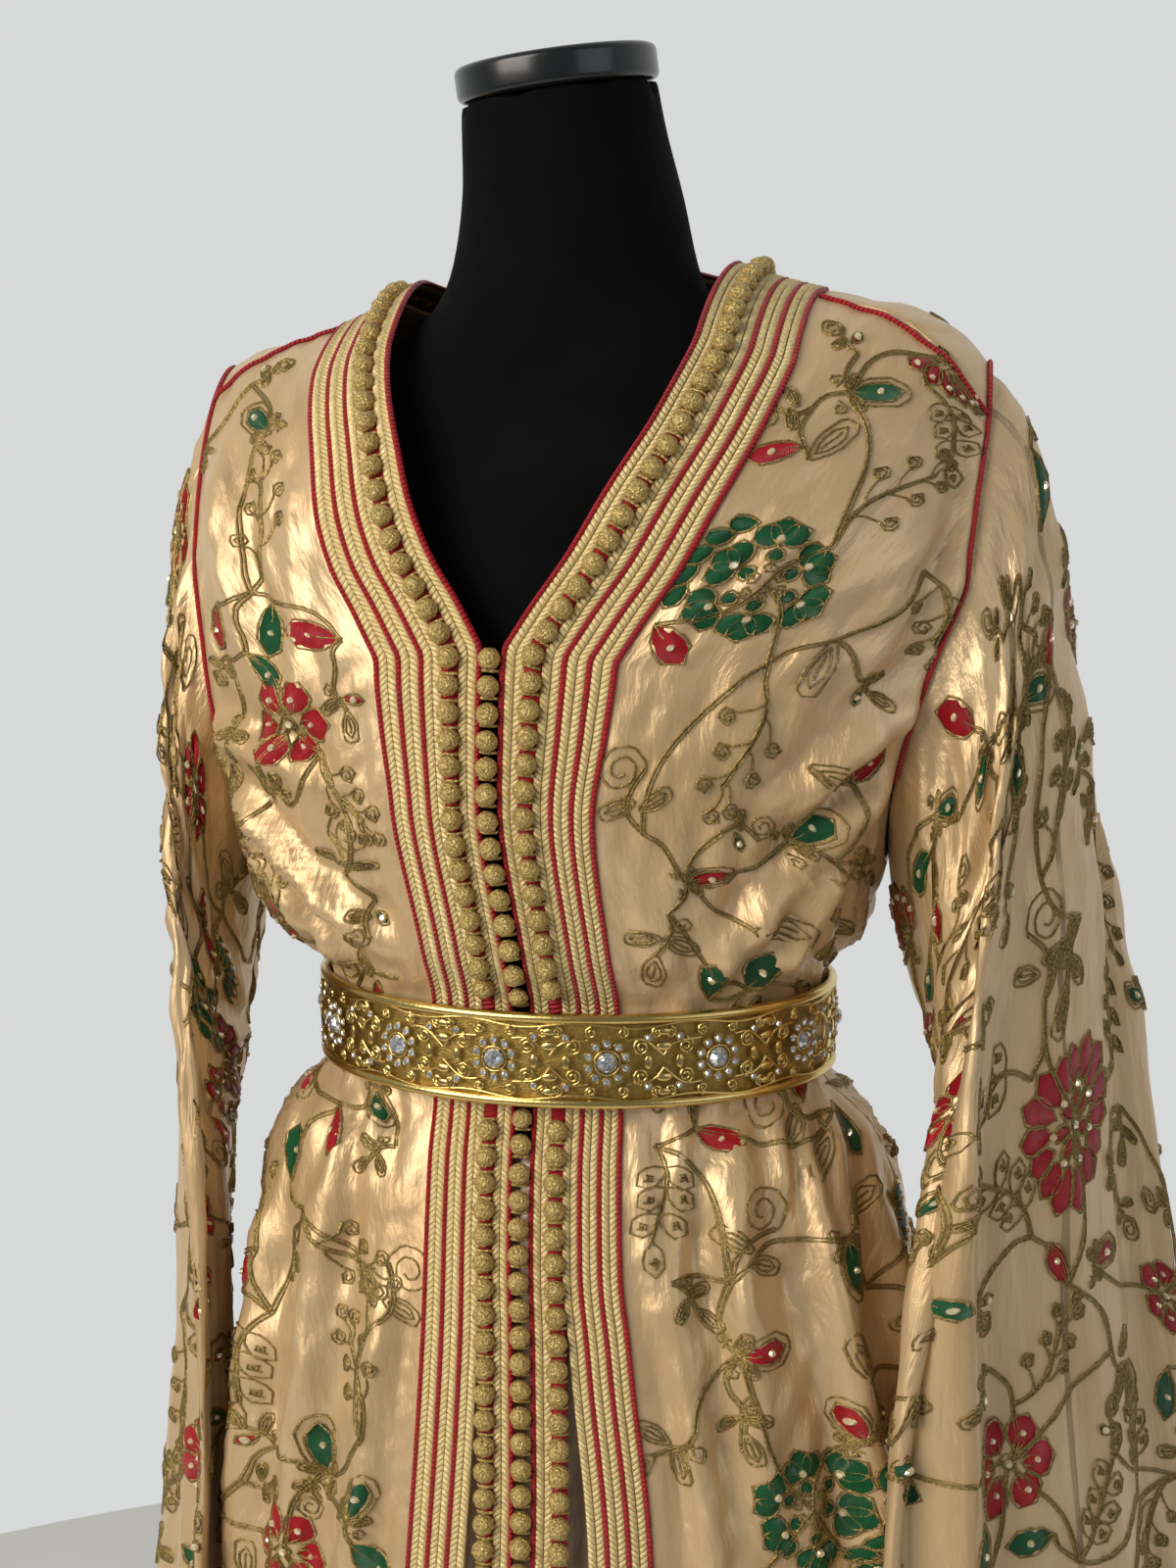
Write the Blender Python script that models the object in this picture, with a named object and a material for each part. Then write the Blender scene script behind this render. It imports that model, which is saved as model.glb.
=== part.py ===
"""A long kaftan in figured satin, closed by ball buttons and a belt, on a limbless dress form.

Metres, +Z up, front towards -Y. The origin is the middle of the underside of the round base.
The garment is cut as a maker would cut it: two fronts, a back, two wide sleeves, a plain satin
panel behind the front opening, and the trimmings that are sewn on: four braids and five cords
each side of the opening, rows of ball buttons, and a cord along each shoulder and armhole seam.
Every cloth piece is a thin wall on one body surface, which is worked out from the tables below.
"""

import math
from typing import NamedTuple

import bmesh
import bpy
import numpy as np

# ---------------------------------------------------------------- driving dimensions
GAP = 0.0003  # room left between neighbouring pieces
CLOTH = 0.0015  # thickness of a satin wall with its backing
HEM_Z = 0.030
YOKE_Z = 1.250  # below this the body is a stack of rings, above it an arch over the shoulders
UNDERARM_Z = 1.115
V_POINT_Z = 1.2235
RIDGE_Y = 0.008  # how far behind the middle the top of the shoulder lies
ARCH_POWER = 1.7
SHOULDER_TIP_LEFT, SHOULDER_TIP_RIGHT = 0.190, 0.206
NECK_HALF_WIDTH = 0.080
NAPE_ANGLE = math.radians(38.0)
CLOSURE_HALF_GAP = 0.0043  # from the middle to the first cord: room for the middle buttons

CORD_W = 0.0024
BRAID_W = 0.0082
BUTTON_LANE_W = 0.0078
TRIM_BASE_H = 0.0005  # trimming starts this far above the cloth
BRAID_H = 0.0015
CORD_H = 0.0023
BUTTON_H = 0.0088
BUTTON_PRESSED_H = 0.0062  # the buttons lie flatter under the belt
BUTTON_END_Z = 0.775
BUTTON_SWELL = 0.0012  # how far a button's head reaches over the strips beside it
EDGE_LEAN = 0.0005  # the trimming's edges lean in by this much

BELT_LOW, BELT_HIGH = 1.0055, 1.0515
BELT_SIDE, BELT_FRONT, BELT_BACK = 0.1318, 0.1080, 0.1000
BELT_WALL = 0.0024
BELT_RIM = 0.0052
BELT_STONES = 14
STONE_D = 0.0128
STONE_LEAD = 0.30  # shifts the stones round the belt
STONE_PROFILE = ((0.0, STONE_D / 2), (0.0016, STONE_D / 2), (0.0042, STONE_D * 0.3))  # height, radius
CLASP_W, CLASP_H = 0.034, 0.036
CLASP_PROFILE = ((0.0, 0.0), (0.0022, 0.0), (0.0032, 0.0012))  # height, how far drawn in

BASE_D, BASE_H, BASE_EDGE = 0.340, 0.018, 0.004
POLE_D = 0.032
INNER_TOP_Z, INNER_REACH = 0.984, 24.0  # the plain panel behind the opening
INNER_DEEP_TOP, INNER_DEEP_HEM = 0.0055, 0.022


class Ring(NamedTuple):
    """Half widths and depths of the garment at one height."""

    z: float
    left: float
    right: float
    front: float
    back: float
    square: float


RINGS = (
    Ring(0.030, 0.296, 0.300, 0.225, 0.262, 2.05),
    Ring(0.260, 0.258, 0.262, 0.200, 0.232, 2.05),
    Ring(0.460, 0.225, 0.230, 0.178, 0.203, 2.1),
    Ring(0.620, 0.199, 0.206, 0.158, 0.178, 2.1),
    Ring(0.740, 0.187, 0.194, 0.144, 0.160, 2.1),
    Ring(0.820, 0.181, 0.188, 0.135, 0.149, 2.15),
    Ring(0.882, 0.175, 0.181, 0.127, 0.140, 2.2),
    Ring(0.936, 0.166, 0.171, 0.117, 0.127, 2.2),
    Ring(0.975, 0.155, 0.156, 0.108, 0.113, 2.2),
    Ring(1.006, 0.1285, 0.128, 0.099, 0.0940, 2.1),
    Ring(1.050, 0.1285, 0.128, 0.099, 0.0930, 2.1),
    Ring(1.080, 0.160, 0.148, 0.111, 0.107, 2.25),
    Ring(1.115, 0.174, 0.160, 0.119, 0.113, 2.3),
    Ring(1.155, 0.183, 0.173, 0.125, 0.116, 2.3),
    Ring(1.200, 0.191, 0.193, 0.126, 0.116, 2.3),
    Ring(1.250, 0.197, 0.211, 0.121, 0.115, 2.35),
)


class Crest(NamedTuple):
    """Height of the shoulder arch, the seam's angle before its top, the left side's drop."""

    x: float
    top: float
    seam: float
    left_drop: float


CRESTS = (
    Crest(-0.040, 1.446, -2.0, 0.000),
    Crest(0.000, 1.462, -2.0, 0.000),
    Crest(0.040, 1.446, -2.0, 0.000),
    Crest(0.080, 1.405, -4.0, 0.005),
    Crest(0.125, 1.391, -10.0, 0.012),
    Crest(0.160, 1.384, -18.0, 0.013),
    Crest(0.185, 1.374, -27.0, 0.013),
    Crest(0.206, 1.352, -36.0, 0.013),
    Crest(0.214, 1.335, -38.0, 0.013),
)


class EdgePoint(NamedTuple):
    """A half width at a height, for the neckline and for the armhole."""

    z: float
    x: float


NECK_EDGE = (
    EdgePoint(V_POINT_Z, CLOSURE_HALF_GAP),
    EdgePoint(1.245, 0.0175),
    EdgePoint(1.268, 0.0330),
    EdgePoint(1.310, 0.0535),
    EdgePoint(1.340, 0.0665),
    EdgePoint(1.365, 0.0745),
    EdgePoint(1.402, NECK_HALF_WIDTH),
)
ARMHOLE = (
    EdgePoint(UNDERARM_Z, 1.0),  # a share of the ring's half width at that height
    EdgePoint(1.160, 0.960),
    EdgePoint(1.205, 0.935),
    EdgePoint(YOKE_Z, 0.945),
)


class Span(NamedTuple):
    """How the trimming's width, the front opening and the closure's swing change with height."""

    z: float
    trim: float
    open_left: float
    open_right: float
    swing: float


SPANS = (
    Span(0.030, 1.00, 0.030, 0.040, 0.000),
    Span(0.500, 0.98, 0.017, 0.026, 0.006),
    Span(0.800, 0.95, 0.006, 0.010, 0.010),
    Span(0.890, 0.92, 0.001, 0.002, 0.007),
    Span(0.930, 0.89, 0.000, 0.000, 0.004),
    Span(1.000, 0.86, 0.000, 0.000, 0.001),
    Span(1.075, 0.84, 0.000, 0.000, -0.001),
    Span(1.150, 0.90, 0.000, 0.000, -0.008),
    Span(1.190, 1.01, 0.000, 0.000, -0.007),
    Span(V_POINT_Z, 1.08, 0.000, 0.000, -0.006),
    Span(1.285, 1.04, 0.000, 0.000, -0.004),
    Span(1.330, 0.99, 0.000, 0.000, 0.000),
    Span(1.450, 0.92, 0.000, 0.000, 0.000),
)


class FrontRow(NamedTuple):
    """One row across a front: its height at the opening and at the armhole or side seam."""

    inner: float
    outer: float


FRONT_ROWS = (
    FrontRow(1.365, 1.320),
    FrontRow(1.325, 1.288),
    FrontRow(1.285, YOKE_Z),
    FrontRow(1.250, 1.218),
    FrontRow(V_POINT_Z, 1.195),
    FrontRow(1.190, 1.170),
    FrontRow(1.150, 1.144),
    FrontRow(UNDERARM_Z, UNDERARM_Z),
    FrontRow(1.080, 1.080),
    FrontRow(1.052, 1.052),
    FrontRow(1.004, 1.004),
    FrontRow(0.975, 0.975),
    FrontRow(0.930, 0.930),
    FrontRow(0.860, 0.860),
    FrontRow(0.775, 0.775),
    FrontRow(0.620, 0.620),
    FrontRow(0.440, 0.440),
    FrontRow(0.240, 0.240),
    FrontRow(HEM_Z, HEM_Z),
)
UNDERARM_ROW = [row.outer for row in FRONT_ROWS].index(UNDERARM_Z)
BACK_HEIGHTS = (YOKE_Z, 1.205, 1.160, *(row.outer for row in FRONT_ROWS[UNDERARM_ROW:]))
BACK_CLIMB = (1.0, 0.66, 0.33)  # shares of the way from the yoke line to the top edge
SIDE_COLUMNS = 7  # front columns beyond the trimming, and back columns along each shoulder
COLLAR_COLUMNS = 12  # back columns round the nape


class Fold(NamedTuple):
    """A long skirt fold: its bearing from the front middle, half width, height at the hem, top."""

    bearing: float
    reach: float
    height: float
    top: float


FOLDS = (
    Fold(-150.0, 13.0, 0.036, 0.95),
    Fold(-116.0, 12.0, 0.034, 0.90),
    Fold(-84.0, 10.0, 0.014, 0.86),
    Fold(-57.0, 10.0, 0.034, 0.96),
    Fold(-36.0, 8.0, 0.020, 0.85),
    Fold(41.0, 9.0, 0.030, 0.94),
    Fold(66.0, 10.0, 0.034, 0.97),
    Fold(93.0, 10.0, 0.024, 0.88),
    Fold(124.0, 12.0, 0.038, 0.95),
    Fold(158.0, 12.0, 0.032, 0.88),
    Fold(180.0, 9.0, 0.018, 0.80),
)


class Sleeve(NamedTuple):
    """One sleeve: side, cuff middle, turn of its flat, half sizes of the cuff, shoulder puff."""

    name: str
    side: int
    cuff_x: float
    cuff_y: float
    cuff_z: float
    turn: float
    half_long: float
    half_short: float
    puff: float


SLEEVES = (
    Sleeve("sleeve_left", -1, 0.2275, -0.006, 0.668, 27.0, 0.110, 0.0155, 0.45),
    Sleeve("sleeve_right", 1, 0.2540, -0.032, 0.662, 38.0, 0.115, 0.0290, 0.85),
)
SLEEVE_STEPS = (0.0, 0.05, 0.13, 0.24, 0.36, 0.48, 0.60, 0.73, 0.86, 1.0)
SLEEVE_FOLDS = 5  # long flutes round a sleeve
SLEEVE_FLUTE = 0.0040


class FormRing(NamedTuple):
    """Half sizes of the dress form at one height."""

    z: float
    half_width: float
    front: float
    back: float


FORM_RINGS = (
    FormRing(0.690, 0.118, 0.080, 0.092),
    FormRing(0.705, 0.142, 0.098, 0.110),
    FormRing(0.760, 0.158, 0.109, 0.124),
    FormRing(0.850, 0.158, 0.108, 0.124),
    FormRing(0.930, 0.144, 0.099, 0.108),
    FormRing(0.990, 0.122, 0.086, 0.087),
    FormRing(1.035, 0.115, 0.082, 0.079),
    FormRing(1.090, 0.122, 0.090, 0.085),
    FormRing(1.160, 0.135, 0.106, 0.095),
    FormRing(1.215, 0.143, 0.110, 0.100),
    FormRing(1.270, 0.153, 0.101, 0.101),
    FormRing(1.315, 0.155, 0.084, 0.090),
    FormRing(1.340, 0.136, 0.071, 0.078),
    FormRing(1.362, 0.102, 0.062, 0.066),
    FormRing(1.382, 0.071, 0.058, 0.054),
    FormRing(1.404, 0.061, 0.060, 0.048),
    FormRing(1.437, 0.0555, 0.063, 0.045),
)
FORM_SIDES = 28


class NeckRing(NamedTuple):
    """A ring of the neck or its cap: middle, half width, half depth and tilt towards NECK_LEAN."""

    y: float
    z: float
    half_width: float
    half_depth: float
    tilt: float


NECK_RINGS = (
    NeckRing(-0.0205, 1.4610, 0.0505, 0.0490, 5.0),
    NeckRing(-0.0310, 1.4835, 0.0480, 0.0470, 9.6),
)
NECK_LEAN = -36.0  # bearing that the neck's top leans towards
CAP_HEIGHTS = (0.0, 0.0125, 0.0155, 0.0168)
CAP_HALF_WIDTHS = (0.0490, 0.0478, 0.0455, 0.0420)


class TrimLane(NamedTuple):
    """One strip of trimming: how far from the neck edge it starts and ends, and its kind."""

    name: str
    start: float
    end: float
    kind: str


def trim_lanes():
    """The eight strips, from the neck edge outwards, with the button lane left free."""
    lanes = []
    start = 0.0
    order = "cord_4 braid_4 lane_0 braid_3 cord_3 braid_2 cord_2 braid_1 cord_1".split()
    widths = {"cord": CORD_W, "braid": BRAID_W, "lane": BUTTON_LANE_W}
    for name in order:
        kind = name.split("_")[0]
        end = start + widths[kind]
        lanes.append(TrimLane(name, start, end, kind))
        start = end
    return lanes


LANES = trim_lanes()
LANE_BY_NAME = {lane.name: lane for lane in LANES}
PANEL_START = LANE_BY_NAME["braid_3"].start
TRIM_END = LANES[-1].end


# ---------------------------------------------------------------- curves
def smooth(knots, values, at):
    """A curve through the values at the knots that never swings past them."""
    knots = np.asarray(knots, float)
    values = np.asarray(values, float)
    step = np.diff(knots)
    slope = np.diff(values) / step
    tangent = np.zeros_like(values)
    same = slope[:-1] * slope[1:] > 0
    near, far = slope[:-1], slope[1:]
    mean = 2.0 * near * far / np.where(same, near + far, 1.0)
    tangent[1:-1] = np.where(same, mean, 0.0)
    tangent[0], tangent[-1] = slope[0], slope[-1]
    at = np.clip(np.asarray(at, float), knots[0], knots[-1])
    i = np.clip(np.searchsorted(knots, at) - 1, 0, len(knots) - 2)
    t = (at - knots[i]) / step[i]
    return (
        values[i] * (1 + 2 * t) * (1 - t) ** 2
        + values[i + 1] * t**2 * (3 - 2 * t)
        + step[i] * (tangent[i] * t * (1 - t) ** 2 - tangent[i + 1] * t**2 * (1 - t))
    )


def column(table, field, key, at):
    """One column of a table as a smooth curve over another."""
    return smooth([getattr(row, key) for row in table], [getattr(row, field) for row in table], at)


def ring_sizes(z, right):
    """Half width, front, back and squareness of the garment at heights z, for one side."""
    low = np.minimum(z, YOKE_Z)
    side = np.where(right, column(RINGS, "right", "z", low), column(RINGS, "left", "z", low))
    return (
        side,
        column(RINGS, "front", "z", low),
        column(RINGS, "back", "z", low),
        column(RINGS, "square", "z", low),
    )


def fold_height(angle, z):
    """How far the long skirt folds stand out at bearings and heights."""
    out = np.zeros(np.broadcast(angle, z).shape)
    for fold in FOLDS:
        away = (np.degrees(angle) - fold.bearing + 180.0) % 360.0 - 180.0
        ridge = np.exp(-((away / fold.reach) ** 2)) - 0.35
        drop = np.clip((fold.top - z) / (fold.top - HEM_Z), 0.0, 1.0)
        near = np.clip(1.6 - np.abs(away) / (2.2 * fold.reach), 0.0, 1.0)
        out = out + fold.height * drop**0.8 * ridge * near
    return out


def ring_point(angle, z):
    """Points of the skirt and bodice, by bearing from the front middle and height."""
    angle, z = np.broadcast_arrays(np.asarray(angle, float), np.asarray(z, float))
    side, front, back, square = ring_sizes(z, np.sin(angle) > 0)
    depth = np.where(np.cos(angle) > 0, front, back)
    across = np.abs(np.sin(angle) / side) ** square
    along = np.abs(np.cos(angle) / depth) ** square
    radius = (across + along) ** (-1.0 / square)
    calm = np.clip((np.abs(np.degrees(angle)) - 22.0) / 12.0, 0.0, 1.0)
    radius = radius + calm * fold_height(angle, z)
    return np.stack([radius * np.sin(angle), -radius * np.cos(angle), z], axis=-1)


def base_depth(x, front):
    """Depth of the garment at the yoke line, at a distance from the middle."""
    side, ahead, behind, square = ring_sizes(np.full(np.shape(x), YOKE_Z), x > 0)
    share = np.clip(np.abs(x) / side, 0.0, 1.0)
    return np.where(front, ahead, behind) * (1.0 - share**square) ** (1.0 / square)


def crest_top(x):
    """Height of the shoulder arch, a little lower on the left."""
    drop = column(CRESTS, "left_drop", "x", np.abs(x))
    return column(CRESTS, "top", "x", np.abs(x)) - np.where(x < 0, drop, 0.0)


def shoulder_tip(side):
    """Distance of the shoulder seam's outer end from the middle."""
    return SHOULDER_TIP_RIGHT if side > 0 else SHOULDER_TIP_LEFT


def arch_point(x, climb):
    """Points over the shoulders: climb runs from -90 degrees in front to 90 behind."""
    x, climb = np.broadcast_arrays(np.asarray(x, float), np.asarray(climb, float))
    top = crest_top(x)
    power = 2.0 / ARCH_POWER
    rise = np.abs(np.cos(climb)) ** power
    reach = np.abs(np.sin(climb)) ** power
    ahead = -(RIDGE_Y + base_depth(x, True)) * reach
    behind = (base_depth(x, False) - RIDGE_Y) * reach
    y = RIDGE_Y + np.where(climb < 0, ahead, behind)
    return np.stack([x, y, YOKE_Z + (top - YOKE_Z) * rise], axis=-1)


def front_point(x, z):
    """Points of the fronts by distance from the middle and height."""
    x, z = np.broadcast_arrays(np.asarray(x, float), np.asarray(z, float))
    side, front, _, square = ring_sizes(z, x > 0)
    share = np.clip(np.abs(x) / side, 0.0, 1.0)
    low = -front * (1.0 - share**square) ** (1.0 / square)
    top = crest_top(x)
    rise = np.clip((z - YOKE_Z) / (top - YOKE_Z), 0.0, 1.0)
    high = RIDGE_Y - (RIDGE_Y + base_depth(x, True)) * (1.0 - rise**ARCH_POWER) ** (1.0 / ARCH_POWER)
    return np.stack([x, np.where(z < YOKE_Z, low, high), z], axis=-1)


def seam_angle(x):
    """Where the shoulder seam lies on the arch."""
    return np.radians(column(CRESTS, "seam", "x", np.abs(x)))


def armhole_x(z, side):
    """Distance of the armhole from the middle at heights up to the yoke line."""
    half = ring_sizes(np.asarray(z, float), side > 0)[0]
    return half * column(ARMHOLE, "x", "z", z)


# ---------------------------------------------------------------- rows
SAMPLES = 160
NUDGE = 1e-4


def outward_normal(place, u, v):
    """Unit normals of a surface function, pointing away from the body."""
    across = place(u + NUDGE, v) - place(u - NUDGE, v)
    along = place(u, v + NUDGE) - place(u, v - NUDGE)
    normal = np.cross(across, along)
    normal /= np.linalg.norm(normal, axis=-1, keepdims=True) + 1e-15
    away = place(u, v) - np.array([0.0, 0.0, YOKE_Z])
    away[..., 2] = np.maximum(away[..., 2], 0.0)
    facing = np.sum(normal * away, axis=-1, keepdims=True)
    return np.where(facing < 0, -normal, normal)


class Row:
    """A curve on one of the body's surfaces, read by distance along it, with its normals."""

    def __init__(self, place, u, v):
        self.points = place(u, v)
        self.normals = outward_normal(place, u, v)
        steps = np.linalg.norm(np.diff(self.points, axis=0), axis=1)
        self.length = np.concatenate([[0.0], np.cumsum(steps)])

    def read(self, values, distance):
        """Values at a distance along the row."""
        return np.array([np.interp(distance, self.length, values[:, k]) for k in range(3)])

    def at(self, distance):
        """The point at a distance."""
        return self.read(self.points, distance)

    def normal(self, distance):
        """The outward normal at a distance."""
        normal = self.read(self.normals, distance)
        return normal / np.linalg.norm(normal)


def ring_bearing(x, z, behind=False):
    """The bearing of the front or back point at a signed distance from the middle."""
    half, front, back, square = ring_sizes(np.asarray(z, float), x > 0)
    share = min(abs(x) / float(half), 1.0)
    depth = float(back if behind else front) * (1.0 - share**square) ** (1.0 / square)
    return math.atan2(x, -depth if behind else depth)


def armhole_top_x(z, side):
    """The armhole's distance from the middle in front, up to the shoulder tip."""
    if z <= YOKE_Z:
        return float(armhole_x(z, side))
    tip_x = shoulder_tip(side)
    tip = arch_point(side * tip_x, seam_angle(tip_x))
    share = (z - YOKE_Z) / (tip[2] - YOKE_Z)
    return float(armhole_x(YOKE_Z, side)) * (1 - share) + tip_x * share


def opening_x(z, side):
    """Signed distance of the neck edge or the closure from the middle."""
    edge = float(column(NECK_EDGE, "x", "z", max(z, V_POINT_Z)))
    return side * edge + float(column(SPANS, "swing", "z", z))


def front_rows(side):
    """The rows of one front, from the shoulder seam down to the hem, opening edge first."""
    x = side * np.linspace(NECK_HALF_WIDTH, shoulder_tip(side), SAMPLES)
    rows = [Row(arch_point, x, seam_angle(x))]
    share = np.linspace(0.0, 1.0, SAMPLES)
    for row in FRONT_ROWS:
        z = row.inner + (row.outer - row.inner) * share
        inner_x = opening_x(row.inner, side)
        if row.outer <= UNDERARM_Z:
            start = ring_bearing(inner_x, row.inner)
            rows.append(Row(ring_point, start + (side * math.pi / 2 - start) * share, z))
            continue
        half = ring_sizes(z, side > 0)[0]
        start = math.asin(inner_x / half[0])
        end = side * math.asin(armhole_top_x(row.outer, side) / half[-1])
        rows.append(Row(front_point, half * np.sin(start + (end - start) * share), z))
    return rows


def nape_rows():
    """Rows that run out from the neck edge over the back, from the left seam to the right."""
    rows = []
    share = np.linspace(0.0, 1.0, SAMPLES)
    for turn in np.linspace(0.0, math.pi, COLLAR_COLUMNS + 1):
        side = -math.cos(turn)
        seam = float(seam_angle(NECK_HALF_WIDTH * side))
        start = seam + (NAPE_ANGLE - seam) * math.sin(turn) ** 0.8
        x = side * (NECK_HALF_WIDTH + 0.080 * share)
        climb = start + 0.95 * math.sin(turn) * share
        if abs(side) > 0.999:
            climb = seam_angle(x)
        rows.append(Row(arch_point, x, climb))
    return rows


# ---------------------------------------------------------------- meshes
def material(name, colour, roughness, metallic=0.0):
    """A plain finish."""
    made = bpy.data.materials.new(name)
    made.use_nodes = True
    shader = made.node_tree.nodes["Principled BSDF"]
    shader.inputs["Base Color"].default_value = (*colour, 1.0)
    shader.inputs["Roughness"].default_value = roughness
    shader.inputs["Metallic"].default_value = metallic
    return made


def add_object(name, vertices, faces, finish):
    """A mesh object with its faces pointing out."""
    mesh = bpy.data.meshes.new(name)
    mesh.from_pydata([tuple(map(float, v)) for v in vertices], [], [tuple(map(int, f)) for f in faces])
    work = bmesh.new()
    work.from_mesh(mesh)
    bmesh.ops.triangulate(work, faces=work.faces, quad_method="FIXED", ngon_method="EAR_CLIP")
    bmesh.ops.recalc_face_normals(work, faces=work.faces)
    work.to_mesh(mesh)
    work.free()
    mesh.materials.append(finish)
    made = bpy.data.objects.new(name, mesh)
    bpy.context.scene.collection.objects.link(made)
    mesh.shade_smooth()
    mesh.set_sharp_from_angle(angle=math.radians(40.0))
    return made


def wall(name, outer, inner, quads, finish):
    """A thin wall between two point lists that share one set of quads."""
    count = len(outer)
    faces = [tuple(quad) for quad in quads]
    faces += [tuple(count + k for k in reversed(quad)) for quad in quads]
    edges = {edge: None for quad in quads for edge in zip(quad, (*quad[1:], quad[0]))}
    faces += [(b, a, count + a, count + b) for a, b in edges if (b, a) not in edges]
    return add_object(name, [*outer, *inner], faces, finish)


def grid_quads(rows, columns, first=0, closed=False):
    """Quads of a grid of points laid out row by row."""
    quads = []
    for i in range(rows - 1):
        for j in range(columns if closed else columns - 1):
            k = (j + 1) % columns
            a, b = first + i * columns + j, first + i * columns + k
            quads.append((a, b, b + columns, a + columns))
    return quads


def tube(name, sections, finish, closed=False):
    """A solid along a list of sections, each a ring of points, with flat ends unless closed."""
    count = len(sections[0])
    points = [point for section in sections for point in section]
    total = len(sections)
    faces = []
    for i in range(total if closed else total - 1):
        a, b = i * count, ((i + 1) % total) * count
        for j in range(count):
            k = (j + 1) % count
            faces.append((a + j, a + k, b + k, b + j))
    if not closed:
        faces.append(tuple(reversed(range(count))))
        faces.append(tuple(range((total - 1) * count, total * count)))
    return add_object(name, points, faces, finish)


# ---------------------------------------------------------------- the garment's layout
class Station:
    """One crossing of the trimming: a row, its width factor and its extra opening."""

    def __init__(self, row, factor, opening):
        self.row = row
        self.factor = factor
        self.opening = opening

    def reach(self, distance, on_panel):
        """Distance along the row of a place in the trimming's own layout."""
        return distance * self.factor + (self.opening if on_panel else 0.0)

    def place(self, distance, height, on_panel=True):
        """A point of the trimming by its layout distance and its height over the cloth."""
        along = self.reach(distance, on_panel)
        return self.row.at(along) + height * self.row.normal(along)


def front_stations(side):
    """The stations of one front, seam first."""
    field = "open_right" if side > 0 else "open_left"
    heights = [NECK_EDGE[-1].z, *(row.inner for row in FRONT_ROWS)]
    stations = []
    for row, z in zip(front_rows(side), heights):
        factor = float(column(SPANS, "trim", "z", z))
        stations.append(Station(row, factor, float(column(SPANS, field, "z", z))))
    return stations


def station_heights():
    """The height of every station from the left hem over the nape to the right hem."""
    front = [NECK_EDGE[-1].z, *(row.inner for row in FRONT_ROWS)]
    return [*reversed(front), *[front[0]] * (COLLAR_COLUMNS - 1), *front]


def ordered_stations(left, nape, right):
    """All stations from the left hem over the nape to the right hem."""
    return [*reversed(left), *nape[1:-1], *right]


def lay_strip(name, stations, outline, finish, on_panel=True):
    """A strip of trimming of one outline, given as (distance, height) corners."""
    sections = [[s.place(d, h, on_panel) for d, h in outline] for s in stations]
    return tube(name, sections, finish)


def braid_outline(lane):
    """A flat braid with a slight crown."""
    start, end = lane.start + GAP / 2, lane.end - GAP / 2
    middle = (start + end) / 2
    edge = BRAID_H - EDGE_LEAN
    return ((start, TRIM_BASE_H), (end, TRIM_BASE_H), (end, edge), (middle, BRAID_H), (start, edge))


def cord_outline(start, end):
    """A cord as a bar with a narrower top."""
    start, end = start + GAP / 2, end - GAP / 2
    top_start, top_end = start + EDGE_LEAN, end - EDGE_LEAN
    return ((start, TRIM_BASE_H), (end, TRIM_BASE_H), (top_end, CORD_H), (top_start, CORD_H))


def button_outline(start, end, top):
    """A row of balls as one bar: a narrow foot between the braids and a round head over them."""
    foot_in, foot_out = start + GAP, end - GAP
    neck = CORD_H + GAP
    head_in, head_out = start - BUTTON_SWELL, end + BUTTON_SWELL
    shoulder = neck + 0.45 * (top - neck)
    return (
        (foot_in, TRIM_BASE_H),
        (foot_out, TRIM_BASE_H),
        (foot_out, neck),
        (head_out, shoulder),
        (foot_out - EDGE_LEAN, top),
        (foot_in + EDGE_LEAN, top),
        (head_in, shoulder),
        (foot_in, neck),
    )


def button_top(z):
    """Height of the button row: flatter where the belt presses on it."""
    under_belt = BELT_LOW - 0.012 < z < BELT_HIGH + 0.012
    return BUTTON_PRESSED_H if under_belt else BUTTON_H


# ---------------------------------------------------------------- cloth pieces
def side_reaches(station):
    """Distances along a front row from the trimming's outer edge to the row's end."""
    start = station.reach(TRIM_END, True)
    return start + (station.row.length[-1] - start) * np.linspace(0, 1, SIDE_COLUMNS + 1)[1:]


def draw_back(points, toward):
    """Moves each point towards its neighbour in the panel by the gap, to free a seam."""
    for k, (point, other) in enumerate(zip(points, toward)):
        step = other - point
        points[k] = point + GAP * step / np.linalg.norm(step)


def panel_wall(name, grid, normals, extra_points, extra_normals, quads, finish):
    """A cloth wall from its outer points and their normals."""
    outer = [*grid.reshape(-1, 3), *extra_points]
    normal = [*normals.reshape(-1, 3), *extra_normals]
    inner = [p - CLOTH * n for p, n in zip(outer, normal)]
    return wall(name, outer, inner, quads, finish)


def front_panel(name, stations, finish):
    """A front: trimmed edge first, then out to the armhole and the side seam."""
    lanes = [PANEL_START, *(lane.end for lane in LANES if lane.start >= PANEL_START)]
    points, normals = [], []
    for station in stations:
        reaches = [*(station.reach(d, True) for d in lanes), *side_reaches(station)]
        points.append([station.row.at(reach) for reach in reaches])
        normals.append([station.row.normal(reach) for reach in reaches])
    points, normals = np.array(points), np.array(normals)
    loop_edge = points[:, -1].copy()
    draw_back(points[0], points[1])
    draw_back(points[:, -1], points[:, -2])
    quads = grid_quads(*points.shape[:2])
    panel_wall(name, points, normals, [], [], quads, finish)
    return loop_edge


def equal_row(place, u, v, count):
    """The places of a surface curve at equal distances, with their normals."""
    row = Row(place, u, v)
    at = np.linspace(0.0, row.length[-1], count)
    return np.array([row.at(d) for d in at]), np.array([row.normal(d) for d in at])


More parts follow.
